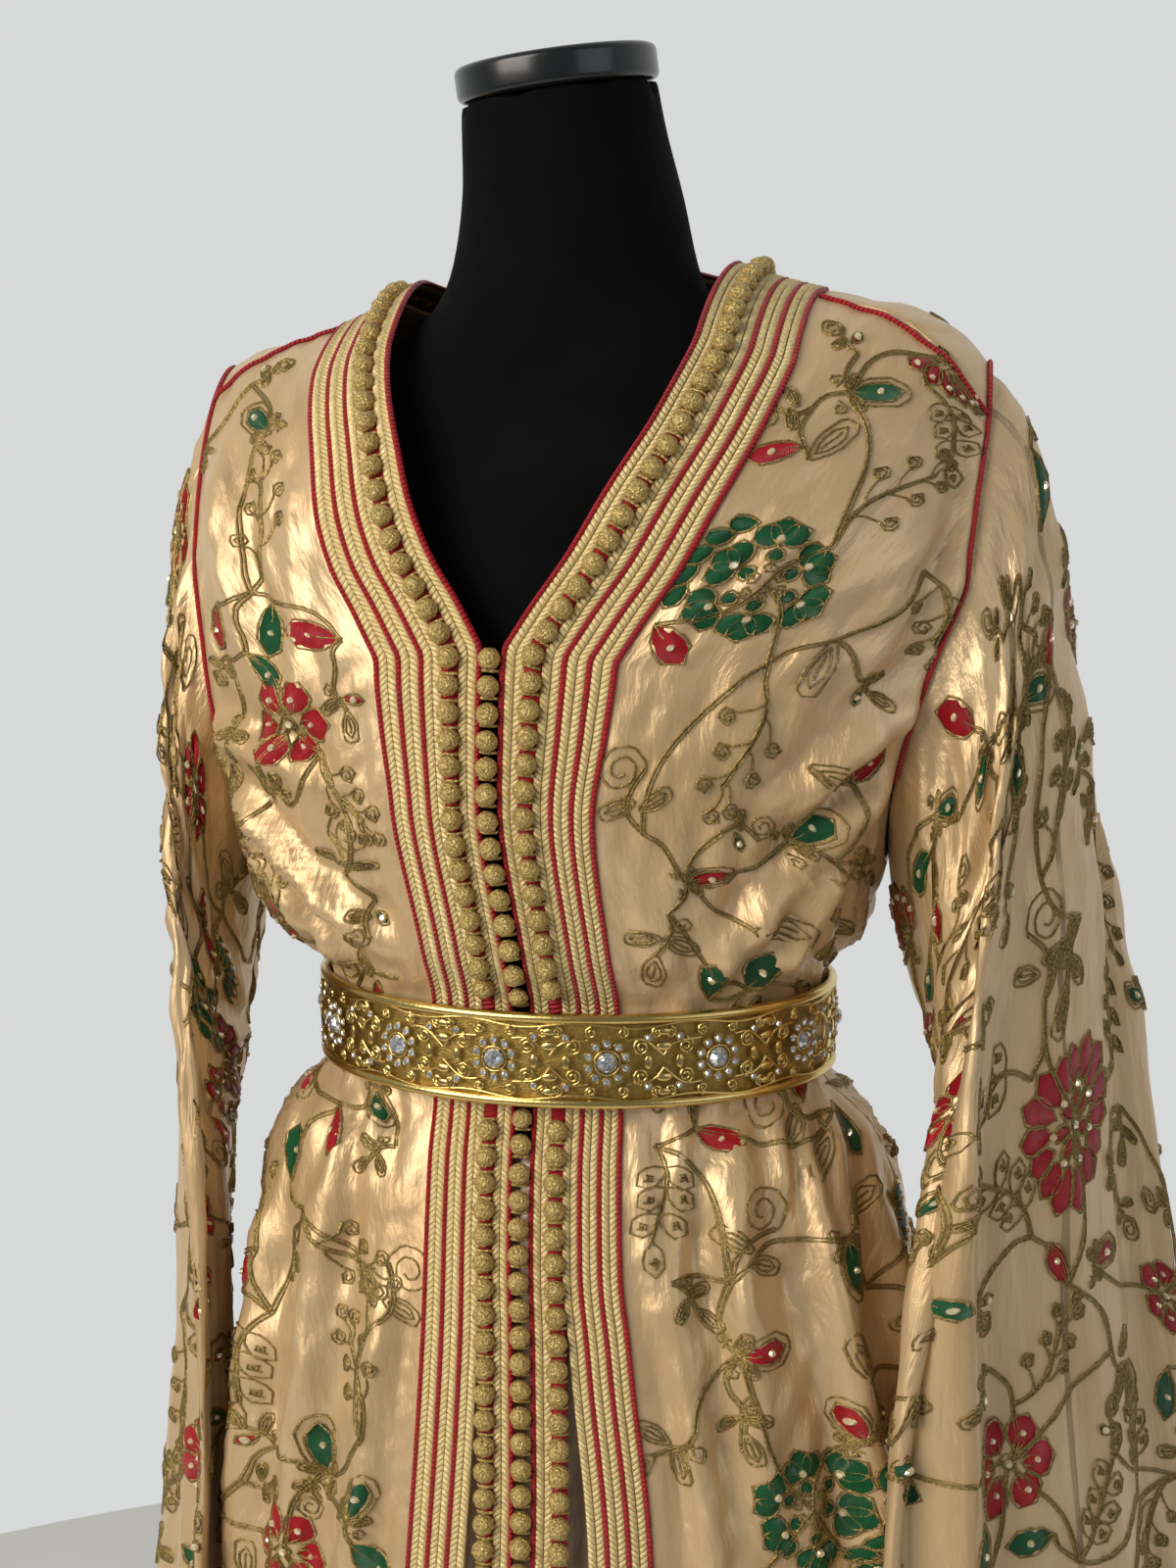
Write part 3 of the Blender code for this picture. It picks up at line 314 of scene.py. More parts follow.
def arch_point(x: Array, climb: Array) -> Array:
    """Gives points over the shoulders; climb runs from -90 degrees in front to 90 behind."""
    x, climb = np.broadcast_arrays(np.asarray(x, float), np.asarray(climb, float))
    power = 2.0 / ARCH_POWER
    reach = np.abs(np.sin(climb)) ** power
    ahead = -(RIDGE_Y + base_depth(x, True)) * reach
    behind = (base_depth(x, False) - RIDGE_Y) * reach
    rise = (crest_top(x) - YOKE_Z) * np.abs(np.cos(climb)) ** power
    return np.stack([x, RIDGE_Y + np.where(climb < 0, ahead, behind), YOKE_Z + rise], axis=-1)


def front_point(x: Array, z: Array) -> Array:
    """Gives points of the fronts by distance from the middle and height."""
    x, z = np.broadcast_arrays(np.asarray(x, float), np.asarray(z, float))
    side, front, _, square = ring_sizes(z, x > 0)
    share = np.clip(np.abs(x) / side, 0.0, 1.0)
    low = -front * (1.0 - share**square) ** (1.0 / square)
    rise = np.clip((z - YOKE_Z) / (crest_top(x) - YOKE_Z), 0.0, 1.0)
    bow = (1.0 - rise**ARCH_POWER) ** (1.0 / ARCH_POWER)
    high = RIDGE_Y - (RIDGE_Y + base_depth(x, True)) * bow
    return np.stack([x, np.where(z < YOKE_Z, low, high), z], axis=-1)


def arch_place(points: Array) -> tuple[Array, Array]:
    """Gives the (x, climb) places on the arch of points that lie on it."""
    x, y = points[..., 0], points[..., 1]
    ahead = y < RIDGE_Y
    depth = base_depth(x, ahead) + np.where(ahead, RIDGE_Y, -RIDGE_Y)
    reach = np.clip((y - RIDGE_Y) / depth, -1.0, 1.0)
    return x, np.sign(reach) * np.arcsin(np.abs(reach) ** (ARCH_POWER / 2.0))


def seam_angle(x: Array) -> Array:
    """Says where the shoulder seam lies on the arch."""
    return np.radians(column(CRESTS, "seam", "x", np.abs(x)))


def armhole_x(z: float, side: int) -> float:
    """Gives the armhole's distance from the middle in front, up to the shoulder tip."""
    half = float(ring_sizes(np.asarray(min(z, YOKE_Z)), side > 0)[0])
    low = half * float(column(ARMHOLE, "x", "z", min(z, YOKE_Z)))
    if z <= YOKE_Z:
        return low
    tip_x = SHOULDER_TIP[side]
    tip = arch_point(side * tip_x, seam_angle(tip_x))
    share = (z - YOKE_Z) / (float(tip[2]) - YOKE_Z)
    return low * (1 - share) + tip_x * share


def ring_bearing(x: float, z: float, behind: bool = False) -> float:
    """Gives the bearing of the front or back point at a signed distance from the middle."""
    half, front, back, square = (float(v) for v in ring_sizes(np.asarray(z, float), np.asarray(x > 0)))
    share = min(abs(x) / half, 1.0)
    depth = (back if behind else front) * (1.0 - share**square) ** (1.0 / square)
    return math.atan2(x, -depth if behind else depth)


# ---------------------------------------------------------------- crossing rows of the cloth
SAMPLES = 161


class Rows:
    """A stack of curves across the cloth, read by row number and distance along the row."""

    def __init__(self, curves: Iterable[Array], around_self: bool = False) -> None:
        """Stacks the curves, each resampled at equal distances.

        Args:
            curves: One array of points a row.
            around_self: True where each row is a closed loop round its own middle.
        """
        points, lengths = [], []
        for curve in curves:
            steps = np.linalg.norm(np.diff(curve, axis=0), axis=1)
            run = np.concatenate([[0.0], np.cumsum(steps)])
            at = np.linspace(0.0, run[-1], SAMPLES)
            points.append(np.stack([np.interp(at, run, curve[:, k]) for k in range(3)], axis=-1))
            lengths.append(run[-1])
        self.points = np.array(points)
        self.length = np.array(lengths)
        self.loop = around_self
        self.face()

    def face(self) -> None:
        """Works out the outward normals again."""
        across = np.gradient(self.points, axis=1)
        if self.loop:
            across[:, 0] = across[:, -1] = (self.points[:, 1] - self.points[:, -2]) / 2.0
        normal = np.cross(across, np.gradient(self.points, axis=0))
        normal /= np.linalg.norm(normal, axis=-1, keepdims=True) + 1e-12
        middle = self.points.mean(axis=1, keepdims=True) if self.loop else np.array([0.0, 0.0, 1.0])
        away = (self.points - middle) * np.array([1.0, 1.0, 0.0])
        self.normals = normal if np.sum(normal * away) > 0 else -normal

    def press(self, height: Array) -> None:
        """Moves the cloth out along its normals by a height at each sample."""
        self.points = self.points + height[..., None] * self.normals
        self.face()

    def blend(self, values: Array, row: Array, place: Array) -> Array:
        """Reads a value stack between its rows and samples."""
        r = np.clip(np.floor(row).astype(int), 0, len(values) - 2)
        c = np.clip(np.floor(place).astype(int), 0, SAMPLES - 2)
        v, u = (row - r)[..., None], (place - c)[..., None]
        near = values[r, c] * (1 - u) + values[r, c + 1] * u
        far = values[r + 1, c] * (1 - u) + values[r + 1, c + 1] * u
        return near * (1 - v) + far * v

    def at(self, row: Array, distance: Array, height: Array | float = 0.0) -> tuple[Array, Array]:
        """Reads points and normals.

        Args:
            row: Row numbers, with fractions.
            distance: Distances along those rows, which may run a little past the ends.
            height: How far outside the cloth.

        Returns:
            The points and the unit normals there.
        """
        row, distance = np.broadcast_arrays(np.asarray(row, float), np.asarray(distance, float))
        length = np.interp(row, np.arange(len(self.length)), self.length)
        place = distance / length * (SAMPLES - 1)
        normal = self.blend(self.normals, row, np.clip(place, 0, SAMPLES - 1))
        normal = normal / (np.linalg.norm(normal, axis=-1, keepdims=True) + 1e-12)
        points = self.blend(self.points, row, place)
        return points + np.asarray(height)[..., None] * normal, normal


def outer_height(z: float) -> float:
    """Gives the height at the armhole of the front row that starts at a height."""
    return float(column(FRONT_ROWS, "outer", "z", z)) if z > UNDERARM_Z else z


def opening_x(z: float, side: int) -> float:
    """Gives the signed distance of the neck edge or the closure from the middle."""
    edge = float(column(NECK_EDGE, "x", "z", max(z, V_POINT_Z)))
    return side * edge + float(column(SPANS, "swing", "z", z))


def front_curve(side: int, z: float) -> Array:
    """Gives one row of a front, from the opening out."""
    share = np.linspace(0.0, 1.0, SAMPLES)
    outer = outer_height(z)
    heights = z + (outer - z) * share
    inner_x = opening_x(z, side)
    if z <= UNDERARM_Z:
        start = ring_bearing(inner_x, z)
        return ring_point(start + (side * math.pi / 2 - start) * share, heights)
    half = ring_sizes(heights, np.full(SAMPLES, side > 0))[0]
    start = math.asin(inner_x / half[0])
    end = side * math.asin(min(armhole_x(outer, side) / half[-1], 1.0))
    return front_point(half * np.sin(start + (end - start) * share), heights)


TOP_ROW_Z = 1.365
SEAM_ROWS = 10
HEIGHTS = np.concatenate([np.linspace(TOP_ROW_Z, 0.75, 150), np.linspace(0.741, HEM_Z, 78)])
ROW_Z = np.concatenate([np.linspace(SEAM_Z, TOP_ROW_Z, SEAM_ROWS, endpoint=False), HEIGHTS])


def front_rows(side: int) -> Rows:
    """Stacks one front's rows, from the shoulder seam down to the hem."""
    x = side * np.linspace(NECK_HALF_WIDTH, SHOULDER_TIP[side], SAMPLES)
    seam = Rows([arch_point(x, seam_angle(x)), arch_point(x, seam_angle(x))]).points[0]
    first = Rows([front_curve(side, TOP_ROW_Z)] * 2).points[0]
    (x0, climb0), (x1, climb1) = arch_place(seam), arch_place(first)
    curves = []
    for share in np.linspace(0.0, 1.0, SEAM_ROWS, endpoint=False):
        curves.append(arch_point(x0 + (x1 - x0) * share, climb0 + (climb1 - climb0) * share))
    curves += [front_curve(side, float(z)) for z in HEIGHTS]
    return Rows(curves)


NAPE_ROWS = 61
BACK_HEIGHTS = np.concatenate([np.linspace(YOKE_Z, 0.75, 110), np.linspace(0.741, HEM_Z, 78)])
BACK_SEAM_ROWS = 26


def nape_curve(turn: float) -> Array:
    """Gives one row that runs out from the neck edge over the back."""
    share = np.linspace(0.0, 1.0, SAMPLES)
    side = -math.cos(turn)
    seam = float(seam_angle(NECK_HALF_WIDTH * side))
    start = seam + (NAPE_ANGLE - seam) * math.sin(turn) ** 0.8
    x = side * (NECK_HALF_WIDTH + 0.080 * share)
    climb = seam_angle(x) if abs(side) > 0.999 else start + 0.95 * math.sin(turn) * share
    return arch_point(x, climb)


class Lane(NamedTuple):
    """One strip of trimming: where it starts and ends, outwards from the neck edge."""

    name: str
    start: float
    end: float


def trim_lanes() -> dict[str, Lane]:
    """Lays out the strips of trimming side by side, from the neck edge outwards."""
    widths = {"cord": CORD_W, "braid": BRAID_W, "lane": BUTTON_LANE_W}
    lanes, start = {}, 0.0
    for name in "cord_4 braid_4 lane_0 braid_3 cord_3 braid_2 cord_2 braid_1 cord_1".split():
        end = start + widths[name.split("_")[0]]
        lanes[name] = Lane(name, start, end)
        start = end
    return lanes


LANES = trim_lanes()
PANEL_START = LANES["braid_3"].start
TRIM_END = LANES["cord_1"].end


class Band:
    """The trimmed edge, from the left hem over the nape to the right hem, in its own layout."""

    def __init__(self, fronts: dict[int, Rows]) -> None:
        """Stacks the crossings of both fronts and the nape.

        Args:
            fronts: The rows of each front by side.
        """
        self.distances = np.linspace(-0.014, TRIM_END + 0.006, 40)
        nape = Rows([nape_curve(t) for t in np.linspace(0.0, math.pi, NAPE_ROWS)])
        parts = [(fronts[-1], ROW_Z, "open_left", True), (nape, None, "", False)]
        parts.append((fronts[1], ROW_Z, "open_right", False))
        stacks: dict[str, list[Array]] = {"panel": [], "free": [], "normal": [], "z": []}
        for rows, heights, opening, turned in parts:
            z = np.full(NAPE_ROWS, SEAM_Z) if heights is None else heights
            number = np.arange(len(z), dtype=float)
            if heights is None:
                z, number = z[1:-1], number[1:-1]
            if turned:
                z, number = z[::-1], number[::-1]
            factor = column(SPANS, "trim", "z", z)[:, None]
            gap = column(SPANS, opening, "z", z)[:, None] if opening else 0.0
            at = self.distances[None, :]
            panel, normal = rows.at(number[:, None], at * factor + gap)
            free, _ = rows.at(number[:, None], at * factor)
            for key, value in (("panel", panel), ("free", free), ("normal", normal), ("z", z)):
                stacks[key].append(value)
        self.panel = np.concatenate(stacks["panel"])
        self.free = np.concatenate(stacks["free"])
        self.normal = np.concatenate(stacks["normal"])
        self.z = np.concatenate(stacks["z"])
        self.count = len(self.z)

    def at(self, row: Array, distance: Array, height: Array, free: bool = False) -> Array:
        """Gives points of the trimming.

        Args:
            row: Crossing numbers, with fractions.
            distance: Layout distances from the neck edge.
            height: Heights over the cloth.
            free: True for the strips that hang between the fronts.

        Returns:
            One point a place.
        """
        row, distance, height = np.broadcast_arrays(row, distance, height)
        step = self.distances[1] - self.distances[0]
        place = (distance - self.distances[0]) / step
        r = np.clip(np.floor(row).astype(int), 0, self.count - 2)
        c = np.clip(np.floor(place).astype(int), 0, len(self.distances) - 2)
        v, u = (row - r)[..., None], (place - c)[..., None]

        def read(stack: Array) -> Array:
            near = stack[r, c] * (1 - u) + stack[r, c + 1] * u
            return near * (1 - v) + (stack[r + 1, c] * (1 - u) + stack[r + 1, c + 1] * u) * v

        normal = read(self.normal)
        normal /= np.linalg.norm(normal, axis=-1, keepdims=True)
        return read(self.free if free else self.panel) + height[..., None] * normal

    def walk(self, distance: float, pitch: float, free: bool = False, lowest: float = 0.0) -> Array:
        """Gives crossing numbers at equal steps along a lane.

        Args:
            distance: The lane's middle in the layout.
            pitch: The step in metres.
            free: True for the strips between the fronts.
            lowest: The height below which nothing is placed.

        Returns:
            The crossing numbers.
        """
        rows = np.flatnonzero(self.z >= lowest).astype(float)
        points = self.at(rows, distance, 0.0, free)
        run = np.concatenate([[0.0], np.cumsum(np.linalg.norm(np.diff(points, axis=0), axis=1))])
        return np.interp(np.arange(pitch / 2, run[-1], pitch), run, rows)


def back_rows(band_nape: Rows, fronts: dict[int, Rows]) -> Rows:
    """Stacks the back's rows, from the shoulder seams and the collar down to the hem."""
    factor = float(column(SPANS, "trim", "z", SEAM_Z))
    reach = TRIM_END * factor
    edge = []
    for side in (-1, 1):
        length = fronts[side].length[0]
        seam, _ = fronts[side].at(0.0, np.linspace(reach, length, 44))
        edge.append(seam[::-1] if side < 0 else seam)
    collar, _ = band_nape.at(np.arange(NAPE_ROWS, dtype=float), reach)
    top = np.concatenate([edge[0][:-1], collar, edge[1][1:]])
    count = len(top)
    top_x, top_climb = arch_place(top)
    share = np.linspace(0.0, 1.0, count)
    low = []
    for z in BACK_HEIGHTS:
        ends = [math.pi / 2] * 2
        if z > UNDERARM_Z:
            ends = [abs(ring_bearing(s * armhole_x(float(z), s), float(z), True)) for s in (-1, 1)]
        bearing = -ends[0] - (TAU - sum(ends)) * share
        low.append(ring_point(bearing, np.full(count, z)))
    base = Rows([low[0], low[0]])
    run = np.linalg.norm(np.diff(top, axis=0), axis=1)
    place = np.concatenate([[0.0], np.cumsum(run)]) / run.sum() * base.length[0]
    base_points, _ = base.at(0.0, place)
    curves = []
    for part in np.linspace(1.0, 0.0, BACK_SEAM_ROWS, endpoint=False):
        x = base_points[:, 0] + (top_x - base_points[:, 0]) * part
        climb = math.pi / 2 + (top_climb - math.pi / 2) * part
        curves.append(arch_point(x, climb))
    return Rows(curves + low)


class Cuff(NamedTuple):
    """One sleeve: cuff middle, turn of its flat, half sizes of the cuff, shoulder puff."""

    cuff_x: float
    cuff_y: float
    cuff_z: float
    turn: float
    half_long: float
    half_short: float
    puff: float


CUFFS = {
    -1: Cuff(0.2275, -0.006, 0.668, 27.0, 0.110, 0.0155, 0.45),
    1: Cuff(0.2540, -0.032, 0.662, 38.0, 0.115, 0.0290, 0.85),
}
CORNER_Z = (SEAM_Z, 1.365, 1.325, 1.285, 1.250, V_POINT_Z, 1.190, 1.150, UNDERARM_Z)
BACK_CORNER_ROWS = (BACK_SEAM_ROWS * 0.34, BACK_SEAM_ROWS * 0.67)
SLEEVE_ROWS = 112


def sleeve_rows(side: int, front: Rows, back: Rows) -> Rows:
    """Stacks a sleeve's rows, from the armhole down to the cuff, each a closed loop."""
    spec = CUFFS[side]
    front_at = np.interp([-z for z in CORNER_Z], -ROW_Z, np.arange(len(ROW_Z)))
    corners = list(front.at(front_at, front.length[np.round(front_at).astype(int)])[0])
    back_z = -BACK_HEIGHTS
    low = np.interp([-YOKE_Z, -1.205, -1.160], back_z, np.arange(len(back_z))) + BACK_SEAM_ROWS
    back_at = np.array([*BACK_CORNER_ROWS, *low])
    ends = back.length[np.round(back_at).astype(int)] if side > 0 else np.zeros(len(back_at))
    corners += list(back.at(back_at, ends)[0][::-1])
    corners.append(corners[0])
    knots = np.arange(len(corners)) / (len(corners) - 1)
    share = np.linspace(0.0, 1.0, SAMPLES)
    loop = np.stack([np.interp(share, knots, np.array(corners)[:, k]) for k in range(3)], axis=-1)
    soft = np.ones(7) / 7.0
    ring = np.concatenate([loop[-8:-1], loop, loop[1:8]])
    rounded = np.stack([np.convolve(ring[:, k], soft, "same")[7:-7] for k in range(3)], axis=-1)
    loop = loop * 0.4 + rounded * 0.6
    turn = math.radians(spec.turn)
    long_way = np.array([side * math.sin(turn), math.cos(turn), 0.0])
    short_way = np.array([side * math.cos(turn), -math.sin(turn), 0.0])
    angle = TAU * share
    flute = 0.0040 * np.cos(5 * angle + 0.7 * side)
    middle = np.array([side * spec.cuff_x, spec.cuff_y, spec.cuff_z])
    end = middle + ((spec.half_short + flute) * np.cos(angle))[:, None] * short_way
    end = end - ((spec.half_long + flute) * np.sin(angle))[:, None] * long_way
    z = loop[:, 2]
    height = ((z - z.min()) / (z.max() - z.min()))[:, None]
    leave = np.concatenate([side * (0.10 + spec.puff * height), 0 * height, -1.0 + 0.55 * height], 1)
    leave /= np.linalg.norm(leave, axis=1, keepdims=True)
    arrive = np.concatenate([-side * (0.05 + 0.12 * height), 0 * height, 1 + 0 * height], 1)
    near = loop + (0.16 - 0.10 * height) * leave
    far = end + 0.30 * arrive
    curves = []
    for t in np.linspace(0.0, 1.0, SLEEVE_ROWS) ** 1.15:
        curves.append(
            (1 - t) ** 3 * loop + 3 * t * (1 - t) ** 2 * near + 3 * t**2 * (1 - t) * far + t**3 * end
        )
    return Rows(curves, around_self=True)


# ---------------------------------------------------------------- wrinkles
def mottle(u: Array, v: Array, seed: int) -> Array:
    """Gives a soft uneven height from -1 to 1 over a plane, with waves about one unit long."""
    draw = random.Random(seed)
    out = np.zeros(np.broadcast(u, v).shape)
    for _ in range(7):
        turn, rate, phase = draw.uniform(0, TAU), draw.uniform(0.6, 1.5), draw.uniform(0, TAU)
        out = out + np.sin(TAU * rate * (u * math.cos(turn) + v * math.sin(turn)) + phase)
    return out / 4.0


class Crease(NamedTuple):
    """A soft ridge on a panel: across and height of both ends, half width and height."""

    a0: float
    z0: float
    a1: float
    z1: float
    reach: float
    height: float


def crease_height(creases: Sequence[Crease], a: Array, z: Array) -> Array:
    """Adds up ridges, each with a hollow along its lower side.

    Args:
        creases: The ridges.
        a: Distances across the panel.
        z: Heights on the panel.

    Returns:
        The height at each place.
    """
    out = np.zeros(np.broadcast(a, z).shape)
    for c in creases:
        along = np.array([c.a1 - c.a0, c.z1 - c.z0])
        size = float(np.hypot(*along))
        along /= size
        t = (a - c.a0) * along[0] + (z - c.z0) * along[1]
        off = (a - c.a0) * -along[1] + (z - c.z0) * along[0]
        off = off + 0.25 * c.reach * np.sin(t / size * 5.0 + c.reach * 900)
        ends = step_up(t, -0.02, 0.25 * size) * (1 - step_up(t, 0.75 * size, size + 0.02))
        ridge = np.exp(-((off / c.reach) ** 2)) - 0.8 * np.exp(-(((off + 1.5 * c.reach) / c.reach) ** 2))
        out = out + c.height * ridge * ends
    return out


def body_wrinkles(rows: Rows, z: Array, edge: Array, creases: Sequence[Crease], seed: int) -> None:
    """Presses gathers, puckers, creases and crinkles into a front or the back.

    Args:
        rows: The panel's rows, changed in place.
        z: The height of each row.
        edge: The distance along each row where free cloth begins.
        creases: The panel's own ridges.
        seed: Seed of the unevenness.
    """
    share = np.linspace(0.0, 1.0, SAMPLES)[None, :]
    along = rows.length[:, None] * share
    a = along - edge[:, None]
    height = z[:, None] + 0.0 * a
    calm = step_up(a, 0.0, 0.012) * step_up(rows.length[:, None] - along, 0.0, 0.010)
    above, below = height - BELT_HIGH, BELT_LOW - height
    belt = step_up(above, 0.004, 0.020) * np.exp(-np.maximum(above, 0) / 0.050)
    belt = belt + step_up(below, 0.004, 0.020) * np.exp(-np.maximum(below, 0) / 0.070)
    uneven = mottle(a / 0.05, height / 0.16, seed)
    gather = np.sin(TAU * a / 0.024 + 2.4 * mottle(a / 0.07, height / 0.30, seed + 1))
    gather = gather * (0.55 + 0.45 * uneven)
    pucker = np.sin(TAU * (height + 0.25 * a) / 0.0125 + 3.0 * mottle(a / 0.03, height / 0.05, seed + 2))
    pucker = pucker * np.exp(-np.maximum(a, 0) / 0.030) * (0.6 + 0.4 * uneven)
    crinkle = mottle(a / 0.026, height / 0.060, seed + 3) + 0.6 * mottle(a / 0.013, height / 0.020, seed + 4)
    drape = mottle(a / 0.055, height / 0.55, seed + 5) * step_up(below, 0.02, 0.25)
    top = 1 - step_up(height, 1.30, 1.37)
    push = calm * (
        0.0060 * belt * gather
        + 0.0010 * pucker * top
        + 0.0018 * crinkle * (0.4 + 0.6 * top)
        + 0.0050 * drape
        + 1.8 * crease_height(creases, a, height)
    )
    rows.press(push)


FRONT_CREASES = {
    -1: (
        Crease(0.115, 1.150, 0.020, 1.075, 0.009, 0.0055),
        Crease(0.120, 1.200, 0.045, 1.160, 0.011, 0.0040),
        Crease(0.105, 1.115, 0.050, 1.070, 0.007, 0.0040),
        Crease(0.060, 1.340, 0.075, 1.240, 0.012, 0.0035),
        Crease(0.055, 0.970, 0.080, 0.780, 0.011, 0.0050),
        Crease(0.110, 0.960, 0.125, 0.720, 0.012, 0.0055),
        Crease(0.020, 0.930, 0.028, 0.700, 0.009, 0.0035),
    ),
    1: (
        Crease(0.150, 1.180, 0.060, 1.075, 0.010, 0.0060),
        Crease(0.125, 1.125, 0.070, 1.062, 0.007, 0.0050),
        Crease(0.150, 1.240, 0.095, 1.150, 0.012, 0.0050),
        Crease(0.100, 1.370, 0.150, 1.250, 0.011, 0.0045),
        Crease(0.050, 0.975, 0.060, 0.800, 0.010, 0.0050),
        Crease(0.095, 0.965, 0.120, 0.760, 0.011, 0.0060),
        Crease(0.140, 0.950, 0.170, 0.700, 0.012, 0.0060),
        Crease(0.020, 0.940, 0.030, 0.720, 0.009, 0.0035),
    ),
}
BACK_CREASES = (
    Crease(0.090, 1.330, 0.150, 1.120, 0.012, 0.0045),
    Crease(0.400, 1.330, 0.330, 1.110, 0.012, 0.0050),
    Crease(0.060, 1.200, 0.160, 1.070, 0.010, 0.0055),
    Crease(0.430, 1.220, 0.330, 1.075, 0.010, 0.0055),
    Crease(0.240, 1.180, 0.250, 1.060, 0.012, 0.0040),
    Crease(0.100, 0.960, 0.080, 0.650, 0.013, 0.0060),
    Crease(0.220, 0.960, 0.210, 0.600, 0.014, 0.0060),
    Crease(0.330, 0.960, 0.370, 0.620, 0.013, 0.0060),
)


def sleeve_wrinkles(rows: Rows, side: int) -> None:
    """Presses long folds, elbow creases and crinkles into a sleeve."""
    share = np.linspace(0.0, 1.0, SAMPLES)[None, :]
    down = np.linspace(0.0, 1.0, SLEEVE_ROWS)[:, None]
    angle = TAU * share + 0.0 * down
    ends = step_up(down, 0.03, 0.14)

    def valley(middle: float, reach: float) -> Array:
        away = np.angle(np.exp(1j * (angle - middle)))
        return np.exp(-((away / reach) ** 2))

    ring = np.cos(angle), np.sin(angle)
    soft = mottle(ring[0] * 1.6, ring[1] * 1.6 + down * 1.2, 31 + side)
    crinkle = mottle(ring[0] * 5.0 + down * 4, ring[1] * 5.0 + down * 9.0, 41 + side)
    elbow = np.sin(TAU * down * 9 + 2.2 * ring[0] + mottle(ring[0], down * 3, 51)) * np.exp(
        -(((down - 0.42) / 0.16) ** 2)
    )
    fold = 0.007 if side > 0 else 0.003
    lead = 0.95 + 0.10 * np.sin(down * 4.0)
    lower = step_up(down, 0.16, 0.45)
    long_folds = lower * fold * (valley(lead, 0.10) - 2.2 * valley(lead + 0.32, 0.21))
    long_folds = long_folds + 0.7 * fold * (valley(4.6, 0.25) - valley(5.2, 0.3)) * step_up(down, 0.2, 0.6)
    rows.press(ends * (long_folds + 0.0040 * soft + 0.0016 * crinkle + 0.0024 * elbow))
    rows.points[:, -1] = rows.points[:, 0]


# ---------------------------------------------------------------- meshes
def make_mesh(
    name: str, points: Array, faces: Sequence[Array], uv: Array | None = None, smooth: bool = True
) -> bpy.types.Object:
    """Makes a smooth-shaded piece from points and groups of faces with equal corner counts.

    Args:
        name: The piece's name.
        points: All points.
        faces: Index arrays, one for each corner count.
        uv: One flat place a point, in metres.
        smooth: True for smooth shading, False for facets.

    Returns:
        The new object.
    """
    mesh = bpy.data.meshes.new(name)
    loops = np.concatenate([np.asarray(f, np.int32).reshape(-1) for f in faces])
    totals = np.concatenate([np.full(len(f), f.shape[1], np.int32) for f in faces])
    starts = np.concatenate([[0], np.cumsum(totals)[:-1]]).astype(np.int32)
    mesh.vertices.add(len(points))
    mesh.vertices.foreach_set("co", np.asarray(points, np.float32).reshape(-1))
    mesh.loops.add(len(loops))
    mesh.loops.foreach_set("vertex_index", loops)
    mesh.polygons.add(len(totals))
    mesh.polygons.foreach_set("loop_start", starts)
    mesh.polygons.foreach_set("loop_total", totals)
    mesh.polygons.foreach_set("use_smooth", np.full(len(totals), smooth))
    if uv is not None:
        layer = mesh.uv_layers.new(name="cut")
        layer.data.foreach_set("uv", np.asarray(uv, np.float32)[loops].reshape(-1))
    mesh.update(calc_edges=True)
    piece = bpy.data.objects.new(name, mesh)
    bpy.context.scene.collection.objects.link(piece)
    return piece


def grid_faces(rows: int, columns: int, closed: bool = False, first: int = 0) -> Array:
    """Gives the quads of a grid of points laid out row by row."""
    i = np.arange(rows - 1)[:, None]
    j = np.arange(columns if closed else columns - 1)[None, :]
    k = (j + 1) % columns
    quads = np.stack([i * columns + j, i * columns + k, (i + 1) * columns + k, (i + 1) * columns + j], -1)
    return quads.reshape(-1, 4) + first


def cloth_shell(name: str, outer: Array, normals: Array, uv: Array, closed: bool = False) -> bpy.types.Object:
    """Makes a thin wall from a grid of outer points.

    Args:
        name: The piece's name.
        outer: Outer points, row by row.
        normals: Outward normals of the same grid.
        uv: Flat places of the same grid.
        closed: True where each row closes on itself.

    Returns:
        The new object.
    """
    rows, columns = outer.shape[:2]
    count = rows * columns
    inner = outer - CLOTH * normals
    quads = grid_faces(rows, columns, closed)
    top, low = np.arange(columns), np.arange(columns) + (rows - 1) * columns
    rims = [(top, False), (low, True)]
    if not closed:
        left = np.arange(rows) * columns
        rims += [(left, True), (left + columns - 1, False)]
    faces = [quads, quads[:, ::-1] + count]
    for rim, flip in rims:
        ends = np.append(rim, rim[0]) if closed else rim
        a, b = ends[:-1], ends[1:]
        band = np.stack([b, a, a + count, b + count], -1)
        faces.append(band[:, ::-1] if flip else band)
    across = outer[0, 1] - outer[0, 0]
    along = outer[1, 0] - outer[0, 0]
    faces_out = float(np.dot(np.cross(across, along), normals[0, 0])) > 0
    if not faces_out:
        faces = [f[:, ::-1] for f in faces]
    points = np.concatenate([outer.reshape(-1, 3), inner.reshape(-1, 3)])
    flat = np.concatenate([uv.reshape(-1, 2)] * 2)
    return make_mesh(name, points, faces, flat)


def sweep(sections: Array, close_ends: bool = True) -> tuple[Array, list[Array]]:
    """Joins rings of points into a tube.

    Args:
        sections: Rings of points, one a section.
        close_ends: True to cap both ends.

    Returns:
        The points and the faces.
    """
    rows, columns = sections.shape[:2]
    faces = [grid_faces(rows, columns, True)[:, ::-1]]
    if close_ends:
        faces.append(np.arange(columns)[None, :])
        faces.append((np.arange(columns)[::-1] + (rows - 1) * columns)[None, :])
    return sections.reshape(-1, 3), faces


